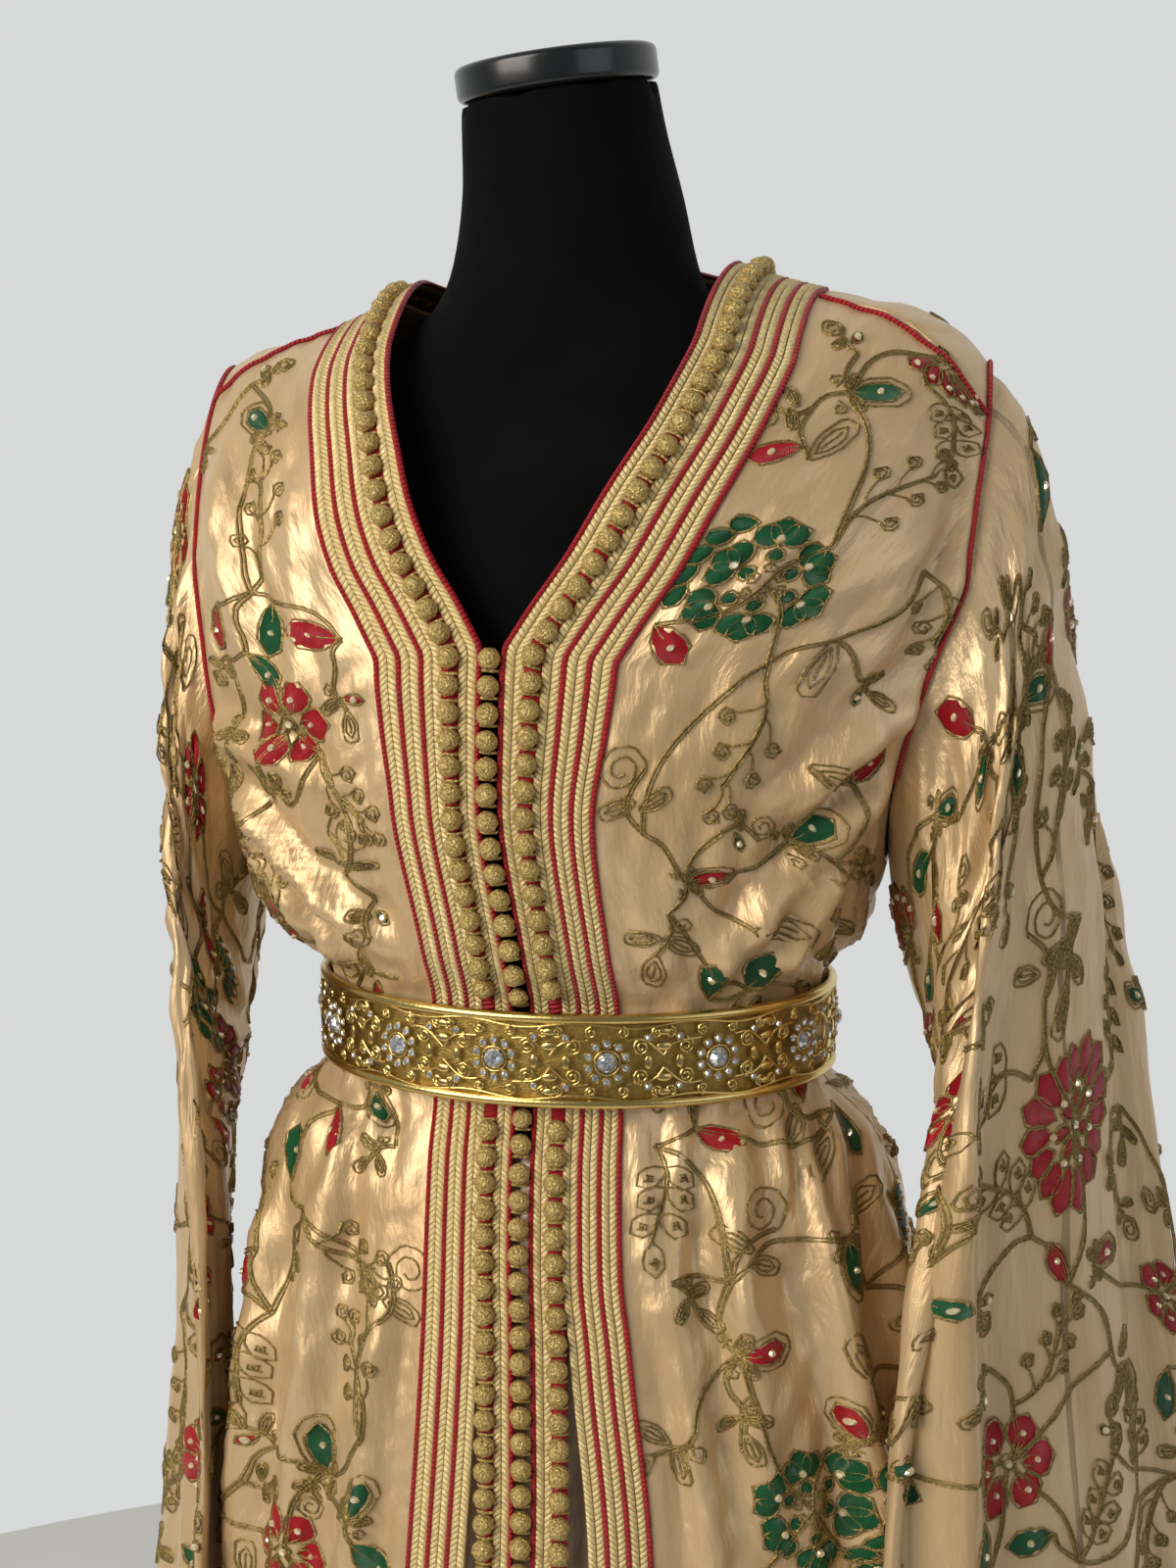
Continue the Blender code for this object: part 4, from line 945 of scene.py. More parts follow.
class Batch:
    """Many small shapes gathered into one piece."""

    def __init__(self) -> None:
        """Starts empty."""
        self.points: list[Array] = []
        self.uv: list[Array] = []
        self.faces: dict[int, list[Array]] = {}
        self.count = 0

    def add(self, points: Array, faces: Iterable[Array], uv: Array | None = None) -> None:
        """Adds a shape.

        Args:
            points: Its points.
            faces: Its index arrays, one for each corner count.
            uv: Flat places of its points.
        """
        for group in faces:
            self.faces.setdefault(group.shape[1], []).append(group + self.count)
        self.points.append(points)
        self.uv.append(np.zeros((len(points), 2)) if uv is None else uv)
        self.count += len(points)

    def build(self, name: str) -> bpy.types.Object | None:
        """Makes the piece, or nothing if it is empty."""
        if not self.count:
            return None
        groups = [np.concatenate(self.faces[k]) for k in sorted(self.faces)]
        return make_mesh(name, np.concatenate(self.points), groups, np.concatenate(self.uv))


def face_out(piece: bpy.types.Object) -> None:
    """Turns a closed piece's faces outwards."""
    bpy.ops.object.select_all(action="DESELECT")
    bpy.context.view_layer.objects.active = piece
    piece.select_set(True)
    bpy.ops.object.mode_set(mode="EDIT")
    bpy.ops.mesh.select_all(action="SELECT")
    bpy.ops.mesh.normals_make_consistent(inside=False)
    bpy.ops.object.mode_set(mode="OBJECT")
    piece.select_set(False)


# ---------------------------------------------------------------- finishes
def linear(code: str) -> tuple[float, float, float, float]:
    """Turns an sRGB hex colour into linear light.

    Args:
        code: Six hex digits.

    Returns:
        Linear red, green and blue, and full alpha.
    """
    parts = [int(code[k : k + 2], 16) / 255.0 for k in (0, 2, 4)]
    light = [c / 12.92 if c <= 0.04045 else ((c + 0.055) / 1.055) ** 2.4 for c in parts]
    return light[0], light[1], light[2], 1.0


def add_node(
    tree: bpy.types.NodeTree, kind: str, values: dict | None = None, links: dict | None = None, **settings: object
) -> bpy.types.Node:
    """Adds a node with its settings, values and links.

    Args:
        tree: The material's tree.
        kind: The node's type.
        values: Values by input name or number.
        links: Output sockets by input name or number.
        **settings: Properties of the node.

    Returns:
        The new node.
    """
    made = tree.nodes.new(kind)
    for key, value in settings.items():
        setattr(made, key, value)
    for key, value in (values or {}).items():
        made.inputs[key].default_value = value
    for key, socket in (links or {}).items():
        tree.links.new(socket, made.inputs[key])
    return made


class Grain(Enum):
    """What the bump of a finish shows."""

    SATIN = "satin"
    TWIST = "twist"
    STITCH = "stitch"
    THREAD = "thread"
    KNIT = "knit"
    CAST = "cast"


@dataclass(frozen=True)
class Finish:
    """A real finish: its two colours, how it shines and what its surface shows close up."""

    name: str
    colour: str
    shade: str
    roughness: float
    grain: Grain
    pitch: float  # metres from one thread, stitch or grain to the next
    depth: float  # metres the grain stands out
    metallic: float = 0.0
    sheen: float = 0.0
    coat: float = 0.0
    specular: float = 0.5
    patch: float = 0.03  # metres across a patch of the second colour
    share: float = 0.5  # how much of the second colour shows
    glass: float = 0.0

    def build(self) -> bpy.types.Material:
        """Makes the material."""
        made = bpy.data.materials.new(self.name)
        made.use_nodes = True
        tree = made.node_tree
        shader = tree.nodes["Principled BSDF"]
        plain = {
            "Metallic": self.metallic,
            "Sheen Weight": self.sheen,
            "Coat Weight": self.coat,
            "Coat Roughness": 0.12,
            "Transmission Weight": self.glass,
        }
        for key, value in plain.items():
            shader.inputs[key].default_value = value
        if not self.metallic:
            shader.inputs["Specular IOR Level"].default_value = self.specular
        place = add_node(tree, "ShaderNodeTexCoord")
        solid, flat = place.outputs["Object"], place.outputs["UV"]
        patches = add_node(
            tree, "ShaderNodeTexNoise", {"Scale": 1.0 / self.patch, "Detail": 4.0}, {"Vector": solid}
        )
        spread = add_node(
            tree,
            "ShaderNodeMapRange",
            {"From Min": 0.35, "From Max": 0.65, "To Min": 0.0, "To Max": self.share},
            {"Value": patches.outputs["Fac"]},
        )
        mix = add_node(
            tree,
            "ShaderNodeMix",
            {6: linear(self.colour), 7: linear(self.shade)},
            {0: spread.outputs["Result"]},
            data_type="RGBA",
        )
        tree.links.new(mix.outputs[2], shader.inputs["Base Color"])
        rough = add_node(
            tree,
            "ShaderNodeMapRange",
            {"To Min": self.roughness * 0.85, "To Max": self.roughness * 1.2},
            {"Value": patches.outputs["Fac"]},
        )
        tree.links.new(rough.outputs["Result"], shader.inputs["Roughness"])
        height = self.surface(tree, solid, flat)
        bump = add_node(tree, "ShaderNodeBump", {"Strength": 1.0, "Distance": self.depth}, {"Height": height})
        tree.links.new(bump.outputs["Normal"], shader.inputs["Normal"])
        return made

    def surface(
        self, tree: bpy.types.NodeTree, solid: bpy.types.NodeSocket, flat: bpy.types.NodeSocket
    ) -> bpy.types.NodeSocket:
        """Adds the nodes of the surface's height.

        Args:
            tree: The material's tree.
            solid: Places in the object.
            flat: Places on the cut cloth.

        Returns:
            The height's socket.
        """
        fine = add_node(tree, "ShaderNodeTexNoise", {"Scale": 1.0 / self.pitch, "Detail": 2.0}, {"Vector": solid})
        if self.grain is Grain.SATIN:
            # fine crinkles run across the warp, over threads drawn at twice their real width
            longer = add_node(tree, "ShaderNodeMapping", {"Scale": (1.0, 0.35, 1.0)}, {"Vector": flat})
            wide = add_node(
                tree, "ShaderNodeTexNoise", {"Scale": 60.0, "Detail": 4.0, "Roughness": 0.52}, {"Vector": longer.outputs[0]}
            )
            return self.sum_of(tree, wide.outputs["Fac"], fine.outputs["Fac"], 0.04)
        if self.grain in (Grain.TWIST, Grain.STITCH):
            slant = (1.0 / self.pitch, 1.0 if self.grain is Grain.TWIST else 0.0, 0.0)
            turned = add_node(
                tree, "ShaderNodeVectorMath", {1: slant}, {0: flat}, operation="DOT_PRODUCT"
            ).outputs["Value"]
            turn = add_node(tree, "ShaderNodeMath", {1: TAU}, {0: turned}, operation="MULTIPLY")
            wave = add_node(tree, "ShaderNodeMath", {}, {0: turn.outputs[0]}, operation="SINE")
            return self.sum_of(tree, wave.outputs[0], fine.outputs["Fac"], 0.3)
        if self.grain is Grain.KNIT:
            loops = add_node(tree, "ShaderNodeTexVoronoi", {"Scale": 1.0 / self.pitch}, {"Vector": solid})
            return self.sum_of(tree, fine.outputs["Fac"], loops.outputs["Distance"], 0.6)
        return fine.outputs["Fac"]

    @staticmethod
    def sum_of(
        tree: bpy.types.NodeTree, main: bpy.types.NodeSocket, other: bpy.types.NodeSocket, share: float
    ) -> bpy.types.NodeSocket:
        """Adds a share of one height to another."""
        return add_node(tree, "ShaderNodeMath", {1: share}, {0: other, 2: main}, operation="MULTIPLY_ADD").outputs[0]


# silk-faced satin: bright soft streaks on its ridges over a warm straw colour that deepens in its hollows
SATIN = Finish("champagne_satin", "DBBE92", "C29D68", 0.35, Grain.SATIN, 0.0006, 0.0030, metallic=0.40, sheen=0.05, specular=0.7, patch=0.10)
# the same satin without figures, cooler and rosier
PLAIN_SATIN = Finish("rose_beige_satin", "CDB39A", "B89C82", 0.32, Grain.SATIN, 0.0006, 0.0018, metallic=0.3, specular=0.6)
# metal-wrapped thread: pale bright gold in close stitches
BRAID_GOLD = Finish("gold_braid", "F3E0A8", "C2A25C", 0.38, Grain.THREAD, 0.0005, 0.0004, metallic=0.42, patch=0.0022)
# the gaps between the stitches: the same thread darkened as painted shade
BRAID_SHADE_GROUND = Finish("braid_painted_shade", "8C7338", "5F4B20", 0.55, Grain.THREAD, 0.0005, 0.0003, metallic=0.2, patch=0.003)
# crocheted metal thread: knobbly, in a fine random speckle of pale and dark gold, painted highlight for the lit loops
# and painted shade for the gaps between
BALL_GOLD = Finish("crocheted_gold", "DDC37C", "846628", 0.40, Grain.KNIT, 0.0013, 0.0011, metallic=0.42, patch=0.0011, share=0.8)
# twisted silk cord: deep red with slanted strands
RED_CORD = Finish("red_silk_cord", "BC0D20", "80060F", 0.45, Grain.TWIST, 0.0024, 0.0005, sheen=0.05, patch=0.004)
# couched metal cord: antique gold, in a fine random speckle of pale and dark that is painted glitter
COUCHED = Finish("antique_gold_cord", "AD9458", "5C4822", 0.34, Grain.THREAD, 0.0007, 0.0005, metallic=0.60, patch=0.0014, share=0.75)
# satin stitch: close parallel silk threads
RED_SILK = Finish("red_satin_stitch", "C00A20", "8A0614", 0.34, Grain.STITCH, 0.0007, 0.0002, patch=0.006)
GREEN_SILK = Finish("green_satin_stitch", "0C6236", "064023", 0.34, Grain.STITCH, 0.0007, 0.0002, patch=0.006)
# foiled glass stones and faceted crystals
CHAMPAGNE_STONE = Finish("champagne_stone", "FBEFC8", "DDC284", 0.10, Grain.CAST, 0.002, 0.0001, metallic=0.45, coat=0.8, patch=0.003)
# the crystals' fine random speckle of white and grey-blue is painted sparkle
CRYSTAL = Finish("foiled_crystal", "FFFFFF", "8F99A6", 0.04, Grain.CAST, 0.002, 0.00005, metallic=0.75, patch=0.0016, share=0.9)
# polished brass-gold, and the matted ground it stands on, in a darker gold
BELT_GOLD = Finish("polished_gold", "E3C880", "C4A455", 0.24, Grain.CAST, 0.002, 0.0001, metallic=1.0, patch=0.02)
BELT_DARK = Finish("darker_gold_ground", "B49752", "7D6227", 0.36, Grain.CAST, 0.0007, 0.0004, metallic=1.0, patch=0.003)
# close cotton jersey, nearly black, with a soft nap
JERSEY = Finish("black_jersey", "070708", "050505", 0.90, Grain.KNIT, 0.0011, 0.0001, specular=0.12, patch=0.05)
CAP = Finish("moulded_black_plastic", "15191C", "101315", 0.26, Grain.CAST, 0.0015, 0.00003, coat=0.2, patch=0.05)
STEEL = Finish("black_painted_steel", "151517", "0E0E10", 0.42, Grain.CAST, 0.0009, 0.00005, coat=0.1, patch=0.05)
FLOOR = Finish("pale_floor", "E6E6E3", "E0E0DD", 0.75, Grain.CAST, 0.004, 0.0002, specular=0.2, patch=0.5)


class Palette:
    """Every material, made once."""

    def __init__(self) -> None:
        """Starts empty."""
        self.made: dict[str, bpy.types.Material] = {}

    def dress(self, piece: bpy.types.Object, finish: Finish) -> None:
        """Gives a piece a finish."""
        if finish.name not in self.made:
            self.made[finish.name] = finish.build()
        piece.data.materials.clear()
        piece.data.materials.append(self.made[finish.name])


class Slot(Enum):
    """The record's material slots."""

    SATIN = "gold_satin"
    INNER = "inner_satin"
    BRAID = "gold_braid"
    CORD = "red_cord"
    BUTTON = "button_thread"
    GOLD = "belt_gold"
    CRYSTAL = "crystal"
    JERSEY = "black_jersey"
    CAP = "cap_plastic"
    STAND = "stand_metal"


@dataclass
class Workshop:
    """What every sub-assembly needs to hand its pieces in."""

    palette: Palette = field(default_factory=Palette)

    def hand_in(
        self, piece: bpy.types.Object | None, finish: Finish, slot: Slot, replaces: Sequence[str] = ()
    ) -> bpy.types.Object | None:
        """Dresses a piece, makes it ride on the object and reports it.

        Args:
            piece: The piece, or nothing.
            finish: Its finish.
            slot: Not used.
            replaces: The solids that it stands for.

        Returns:
            The same piece.
        """
        if piece is None:
            return None
        self.palette.dress(piece, finish)
        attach(piece, "root")
        if replaces:
            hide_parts(*replaces)
        LOG.info("%s: %d faces, %s", piece.name, len(piece.data.polygons), finish.name)
        return piece


# ---------------------------------------------------------------- embroidery
class Tone(Enum):
    """The silk of a motif's filled parts."""

    RED = "red"
    GREEN = "green"
    NONE = "none"


class Kind(Enum):
    """The figures of the embroidery."""

    PEONY = "peony"
    CLUSTER = "cluster"
    BLOOM = "bloom"
    FAN = "fan"
    BUD = "bud"
    BERRIES = "berries"
    SPRIG = "sprig"
    SCROLL = "scroll"
    LEAVES = "leaves"
    LEAF = "leaf"


STEP = 0.0026  # metres between points along a couched cord
CORD_HALF = 0.00062


def spiral(x: float, y: float, radius: float, turns: float, start: float, hand: int = 1) -> Array:
    """Draws a coil that winds inwards."""
    count = max(7, int(TAU * radius * turns * 0.65 / STEP) + 4)
    t = np.linspace(0.0, 1.0, count)
    r = radius * (1.0 - 0.78 * t)
    angle = start + hand * TAU * turns * t
    return np.stack([x + r * np.cos(angle), y + r * np.sin(angle)], -1)


def drop(x: float, y: float, turn: float, length: float, width: float, count: int = 15) -> Array:
    """Draws a closed leaf or petal, from its base out to its point and back."""
    t = np.linspace(0.0, TAU, count)
    along = length * (1 - np.cos(t)) / 2
    across = width / 2 * np.sin(t) * (1 - 0.25 * np.cos(t))
    c, s = math.cos(turn), math.sin(turn)
    return np.stack([x + along * c - across * s, y + along * s + across * c], -1)


def bow(start: Sequence[float], end: Sequence[float], sag: float, count: int = 0) -> Array:
    """Draws a stem between two places, bowed to one side by a share of its length."""
    a, b = np.array(start, float), np.array(end, float)
    size = float(np.linalg.norm(b - a))
    t = np.linspace(0.0, 1.0, count or max(4, int(size / STEP) + 1))[:, None]
    side = np.array([-(b - a)[1], (b - a)[0]])
    return a + (b - a) * t + side * sag * np.sin(math.pi * t) + side * 0.025 * np.sin(TAU * t)


class Drawing:
    """A figure in flat metres: cords, silk fills and stones."""

    def __init__(self) -> None:
        """Starts empty."""
        self.cords: list[Array] = []
        self.fills: list[tuple[Array, Tone]] = []
        self.stones: list[tuple[float, float, float]] = []

    def stem(self, line: Array, double: bool = True) -> None:
        """Adds a stem, as one cord or as two side by side."""
        if not double or len(line) < 3:
            self.cords.append(line)
            return
        way = np.gradient(line, axis=0)
        way /= np.linalg.norm(way, axis=1, keepdims=True) + 1e-9
        side = np.stack([-way[:, 1], way[:, 0]], -1) * 0.00078
        self.cords += [line + side, line - side]

    def petal(self, x: float, y: float, turn: float, length: float, width: float, tone: Tone) -> None:
        """Adds a filled petal inside its outline."""
        self.cords.append(drop(x, y, turn, length, width, 13))
        if tone is not Tone.NONE:
            away = 0.0012
            c, s = math.cos(turn) * away, math.sin(turn) * away
            self.fills.append((drop(x + c, y + s, turn, length - 2 * away, width - 1.6 * away, 12), tone))

    def leaf(self, x: float, y: float, turn: float, length: float, tone: Tone = Tone.NONE) -> None:
        """Adds a leaf of three contours, or of silk with a vein and a stone."""
        width = length * 0.46
        c, s = math.cos(turn), math.sin(turn)
        if tone is not Tone.NONE:
            self.petal(x, y, turn, length, width, tone)
            self.cords.append(bow((x, y), (x + c * length * 0.36, y + s * length * 0.36), 0.0))
            self.stones.append((x + c * length * 0.56, y + s * length * 0.56, 0.0020))
            return
        self.cords.append(drop(x, y, turn, length, width, 17))
        inset = length * 0.13
        self.cords.append(drop(x + c * inset, y + s * inset, turn, length * 0.70, width * 0.56, 13))
        self.cords.append(bow((x + 2 * c * inset, y + 2 * s * inset), (x + c * length * 0.7, y + s * length * 0.7), 0.0))

    def berry(self, x: float, y: float, turn: float, reach: float) -> None:
        """Adds a twig that ends in a small coil."""
        c, s = math.cos(turn), math.sin(turn)
        radius = 0.0050
        tip = (x + c * reach, y + s * reach)
        self.cords.append(bow((x, y), tip, 0.12))
        middle = (tip[0] + c * radius, tip[1] + s * radius)
        self.cords.append(spiral(*middle, radius, 2.0, turn + math.pi))


def draw_figure(kind: Kind, size: float, tone: Tone, draw: random.Random) -> Drawing:
    """Draws one figure at the origin, growing along +x.

    Args:
        kind: Which figure.
        size: How far it reaches, in metres.
        tone: Its silk.
        draw: The source of its unevenness.

    Returns:
        The drawing.
    """
    d = Drawing()
    if kind is Kind.PEONY:
        for k in range(15):
            turn = TAU * k / 15 + draw.uniform(-0.05, 0.05)
            reach = size * (0.55 + 0.05 * math.sin(3 * turn))
            inner = size * 0.24
            x, y = inner * math.cos(turn), inner * math.sin(turn)
            d.petal(x, y, turn, reach - inner, size * 0.20, tone)
        for k in range(7):
            turn = TAU * k / 7
            x, y = size * 0.13 * math.cos(turn), size * 0.13 * math.sin(turn)
            d.petal(x * 0.5, y * 0.5, turn, size * 0.19, size * 0.11, tone)
            d.cords.append(spiral(x * 1.5, y * 1.5, size * 0.055, 1.3, turn))
            d.stones.append((x * 1.9, y * 1.9, 0.0019))
        d.stones.append((0.0, 0.0, 0.0021))
    elif kind is Kind.CLUSTER:
        for k in range(6):
            turn = TAU * k / 6 + 0.3 + draw.uniform(-0.1, 0.1)
            far = size * (0.30 if k % 2 else 0.25)
            x, y = far * math.cos(turn), far * math.sin(turn)
            for lobe in (-0.95, 0.0, 0.95):
                d.petal(x, y, turn + lobe, size * 0.22, size * 0.18, tone)
            d.petal(x * 0.95, y * 0.95, turn + math.pi, size * 0.13, size * 0.12, tone)
            d.stones.append((x * 1.15, y * 1.15, 0.0021))
            d.cords.append(spiral(x * 0.42, y * 0.42, size * 0.06, 1.4, turn))
        for k in range(5):
            turn = 1.75 + 0.30 * k
            d.petal(size * 0.50 * math.cos(turn), size * 0.50 * math.sin(turn), turn + 1.25, size * 0.22, size * 0.14, tone)
    elif kind is Kind.BLOOM:
        for k in range(6):
            turn = TAU * k / 6 + draw.uniform(-0.08, 0.08)
            x, y = size * 0.13 * math.cos(turn), size * 0.13 * math.sin(turn)
            d.petal(x, y, turn, size * (0.42 if k % 2 else 0.37), size * 0.36, tone)
            d.stones.append((x * 2.4, y * 2.4, 0.0018))
            d.cords.append(drop(x, y, turn, size * 0.2, size * 0.10, 9))
        d.cords.append(spiral(0, 0, size * 0.11, 1.4, 0))
        d.stones.append((0.0, 0.0, 0.0022))
    elif kind is Kind.FAN:
        for k in range(7):
            turn = -1.15 + 2.3 * k / 6
            x, y = size * 0.16 * math.cos(turn), size * 0.16 * math.sin(turn)
            d.petal(x, y, turn, size * 0.46, size * 0.19, tone)
            d.stones.append((x * 3.0, y * 3.0, 0.0018))
        d.leaf(0, 0, math.pi - 0.5, size * 0.3)
        d.cords.append(spiral(0, 0, size * 0.12, 1.5, 0))
    elif kind is Kind.BUD:
        d.leaf(0, 0, 0.0, size * 0.62, tone)
        d.cords.append(drop(-size * 0.04, 0, 0.0, size * 0.74, size * 0.42, 19))
        for side in (-1, 1):
            d.leaf(0, 0, side * 1.1, size * 0.30)
            d.cords.append(spiral(-size * 0.12, side * size * 0.2, size * 0.10, 1.3, -side * 1.6, side))
    elif kind is Kind.BERRIES:
        line = bow((0, 0), (size * 0.72, size * 0.10), 0.14)
        d.stem(line)
        for k, share in enumerate((0.28, 0.42, 0.56, 0.70, 0.84, 0.98, 1.0)):
            x, y = line[int(share * (len(line) - 1))]
            side = 1 if k % 2 else -1
            turn = side * (0.85 - 0.25 * share) if share < 1.0 else 0.1
            d.berry(x, y, turn, size * (0.19 - 0.07 * share))
    elif kind is Kind.SPRIG:
        line = bow((0, 0), (size * 0.80, 0.0), 0.12)
        d.stem(line)
        for k, share in enumerate((0.3, 0.3, 0.52, 0.52, 0.74, 0.74, 1.0)):
            x, y = line[int(share * (len(line) - 1))]
            side = 1 if k % 2 else -1
            turn = side * 0.95 if share < 1.0 else 0.1
            d.cords.append(drop(x, y, turn, size * 0.27, size * 0.16, 13))
            c, s = math.cos(turn) * size * 0.16, math.sin(turn) * size * 0.16
            d.cords.append(spiral(x + c, y + s, size * 0.048, 1.5, turn))
    elif kind is Kind.SCROLL:
        d.stem(bow((0, 0), (size * 0.55, 0.0), 0.25))
        d.cords.append(spiral(size * 0.55, size * 0.21, size * 0.22, 1.9, -math.pi / 2))
        d.leaf(size * 0.28, size * 0.06, 1.9, size * 0.34)
        d.leaf(size * 0.20, size * 0.02, -1.0, size * 0.32, tone)
    elif kind is Kind.LEAF:
        d.leaf(0, 0, 0.0, size, tone)
    else:
        d.stem(bow((0, 0), (size * 0.5, 0.0), 0.15))
        d.leaf(size * 0.5, 0, 0.15, size * 0.48)
        d.leaf(size * 0.28, size * 0.02, 1.25, size * 0.40)
        d.leaf(size * 0.30, 0, -1.15, size * 0.36, tone)
        d.cords.append(spiral(size * 0.10, size * 0.16, size * 0.12, 1.5, -1.5))
    return d


class Figure(NamedTuple):
    """One placed figure: its kind, place across and up the panel, size, turn in degrees, silk."""

    kind: Kind
    a: float
    z: float
    size: float
    turn: float
    tone: Tone = Tone.NONE


@dataclass
class Panel:
    """Cloth, or a metal face, that drawings are laid on: real distances across it and up it."""

    rows: Rows
    climb: Array  # distance up the cloth of each row, falling
    edge: Array  # where free cloth begins along each row
    turned: bool = False  # True where distances run from the far end

    def width(self, climb: float) -> float:
        """Gives the free cloth's width at a distance up the cloth."""
        row = np.interp(-climb, -self.climb, np.arange(len(self.climb)))
        count = np.arange(len(self.edge))
        return float(np.interp(row, count, self.rows.length) - np.interp(row, count, self.edge))

    def lay(self, flat: Array, height: Array | float) -> Array:
        """Gives the places in space of flat places, at heights over the cloth."""
        row = np.interp(-flat[..., 1], -self.climb, np.arange(len(self.climb)))
        count = np.arange(len(self.edge))
        distance = np.interp(row, count, self.edge) + flat[..., 0]
        if self.rows.loop:
            distance = np.mod(distance, np.interp(row, count, self.rows.length))
        return self.rows.at(row, distance, height)[0]


def climb_of(rows: Rows, heights: Array) -> Array:
    """Gives the distance up the cloth of each row, level with the height at the belt."""
    middle = rows.points[:, SAMPLES // 2]
    run = np.concatenate([[0.0], np.cumsum(np.linalg.norm(np.diff(middle, axis=0), axis=1))])
    at_belt = float(np.interp(-BELT_LOW, -heights, run))
    return BELT_LOW + at_belt - run


class Sewing:
    """Everything embroidered on one panel."""

    def __init__(self, panel: Panel, step: float = 1.0) -> None:
        """Starts with bare cloth.

        Args:
            panel: The cloth.
            step: How much coarser than the library its cords are laid.
        """
        self.panel = panel
        self.step = step
        self.cords: list[Array] = []
        self.fills: dict[Tone, list[Array]] = {Tone.RED: [], Tone.GREEN: []}
        self.axes: dict[Tone, list[float]] = {Tone.RED: [], Tone.GREEN: []}
        self.stones: list[tuple[float, float, float]] = []

    def place(self, drawing: Drawing, a: float, z: float, turn: float) -> None:
        """Puts a drawing on the cloth."""
        c, s = math.cos(turn), math.sin(turn)
        spin = np.array([[c, s], [-s, c]])
        self.cords += [line @ spin + (a, z) for line in drawing.cords]
        for ring, tone in drawing.fills:
            self.fills[tone].append(ring @ spin + (a, z))
        self.stones += [(a + x * c - y * s, z + x * s + y * c, r) for x, y, r in drawing.stones]

    def figures(self, figures: Sequence[Figure], seed: int) -> None:
        """Draws and places figures, and joins each to its nearest neighbour with a stem."""
        draw = random.Random(seed)
        for f in figures:
            self.place(draw_figure(f.kind, f.size, f.tone, draw), f.a, f.z, math.radians(f.turn))
        for k, f in enumerate(figures):
            near = sorted(figures[:k], key=lambda g: (g.a - f.a) ** 2 + (g.z - f.z) ** 2)[:1]
            for g in near:
                if math.hypot(g.a - f.a, g.z - f.z) < 0.105:
                    link = Drawing()
                    sag = draw.choice((-1, 1)) * draw.uniform(0.08, 0.17)
                    link.stem(bow((f.a, f.z), (g.a, g.z), sag))
                    self.place(link, 0.0, 0.0, 0.0)

    def cord_mesh(self, name: str, half: float = CORD_HALF, rise: float = 0.0013) -> bpy.types.Object | None:
        """Lays every cord as a rounded ridge."""
        lines = []
        for line in self.cords:
            if self.step > 1.0 and len(line) > 9:
                keep = np.linspace(0, len(line) - 1, max(6, int(len(line) / self.step))).round().astype(int)
                line = line[keep]
            lines.append(line)
        if not lines:
            return None
        flat = np.concatenate(lines)
        way = np.concatenate([np.gradient(line, axis=0) for line in lines])
        way /= np.linalg.norm(way, axis=1, keepdims=True) + 1e-12
        side = np.stack([-way[:, 1], way[:, 0]], -1) * half
        grid = np.stack([flat - side, flat, flat + side], axis=1)
        height = np.array([0.0001, rise, 0.0001])[None, :]
        points = self.panel.lay(grid, height + 0 * grid[..., 0]).reshape(-1, 3)
        joined = np.concatenate([np.arange(len(line) - 1) + start for line, start in zip(lines, starts_of(lines))])
        faces = []
        for k in range(2):
            a = joined * 3 + k
            faces.append(np.stack([a, a + 1, a + 4, a + 3], -1))
        uv = np.stack([grid[..., 0], grid[..., 1]], -1).reshape(-1, 2)
        return self.outward(make_mesh(name, points, [np.concatenate(faces)], uv))

    def outward(self, piece: bpy.types.Object) -> bpy.types.Object:
        """Turns an open piece's faces away from the cloth, going by its first face."""
        first = piece.data.polygons[len(piece.data.polygons) // 2]
        place = np.array(first.center)
        count = self.panel.rows.points.reshape(-1, 3)
        near = int(np.argmin(((count - place) ** 2).sum(-1)))
        if np.dot(self.panel.rows.normals.reshape(-1, 3)[near], np.array(first.normal)) < 0:
            piece.data.flip_normals()
        return piece

    def fill_mesh(self, name: str, tone: Tone) -> bpy.types.Object | None:
        """Lays the silk of one colour as soft pads."""
        rings = self.fills[tone]
        if not rings:
            return None
        batch = Batch()
        for ring in rings:
            ring = ring[:-1]
            n = len(ring)
            middle = ring.mean(axis=0)
            inner = middle + (ring - middle) * 0.62
            flat = np.concatenate([ring, inner, middle[None, :]])
            height = np.concatenate([np.full(n, 0.0002), np.full(n, 0.0010), [0.0012]])
            points = self.panel.lay(flat, height)
            axis = ring[n // 2] - ring[0]
            axis = axis / (np.linalg.norm(axis) + 1e-9)
            local = flat - middle
            uv = np.stack([local @ axis, local @ np.array([-axis[1], axis[0]])], -1)
            k = np.arange(n)
            quads = np.stack([k, (k + 1) % n, n + (k + 1) % n, n + k], -1)
            caps = np.stack([n + k, n + (k + 1) % n, np.full(n, 2 * n)], -1)
            batch.add(points, [quads, caps], uv)
        return self.outward(batch.build(name))

    def stone_mesh(self, name: str) -> bpy.types.Object | None:
        """Sets every stone as a low faceted dome."""
        if not self.stones:
            return None
        spots = np.array(self.stones)
        n = 8
        turn = np.arange(n) * TAU / n
        ring = np.stack([np.cos(turn), np.sin(turn)], -1)
        scale = spots[:, 2][:, None, None]
        centre = spots[:, None, :2]
        flat = np.concatenate([centre + scale * ring, centre + 0.62 * scale * ring], axis=1)
        height = np.concatenate([np.full(n, 0.0008), np.full(n, 0.0024)])[None, :]
        points = self.panel.lay(flat, height + 0 * flat[..., 0]).reshape(-1, 3)
        first = (np.arange(len(spots)) * 2 * n)[:, None]
        k = np.arange(n)
        quads = np.stack([k, (k + 1) % n, n + (k + 1) % n, n + k], -1)
        sides = (quads[None, :, :] + first[:, :, None]).reshape(-1, 4)
        caps = (n + k)[None, :] + first
        piece = self.outward(make_mesh(name, points, [sides, caps], flat.reshape(-1, 2), smooth=False))
        return piece

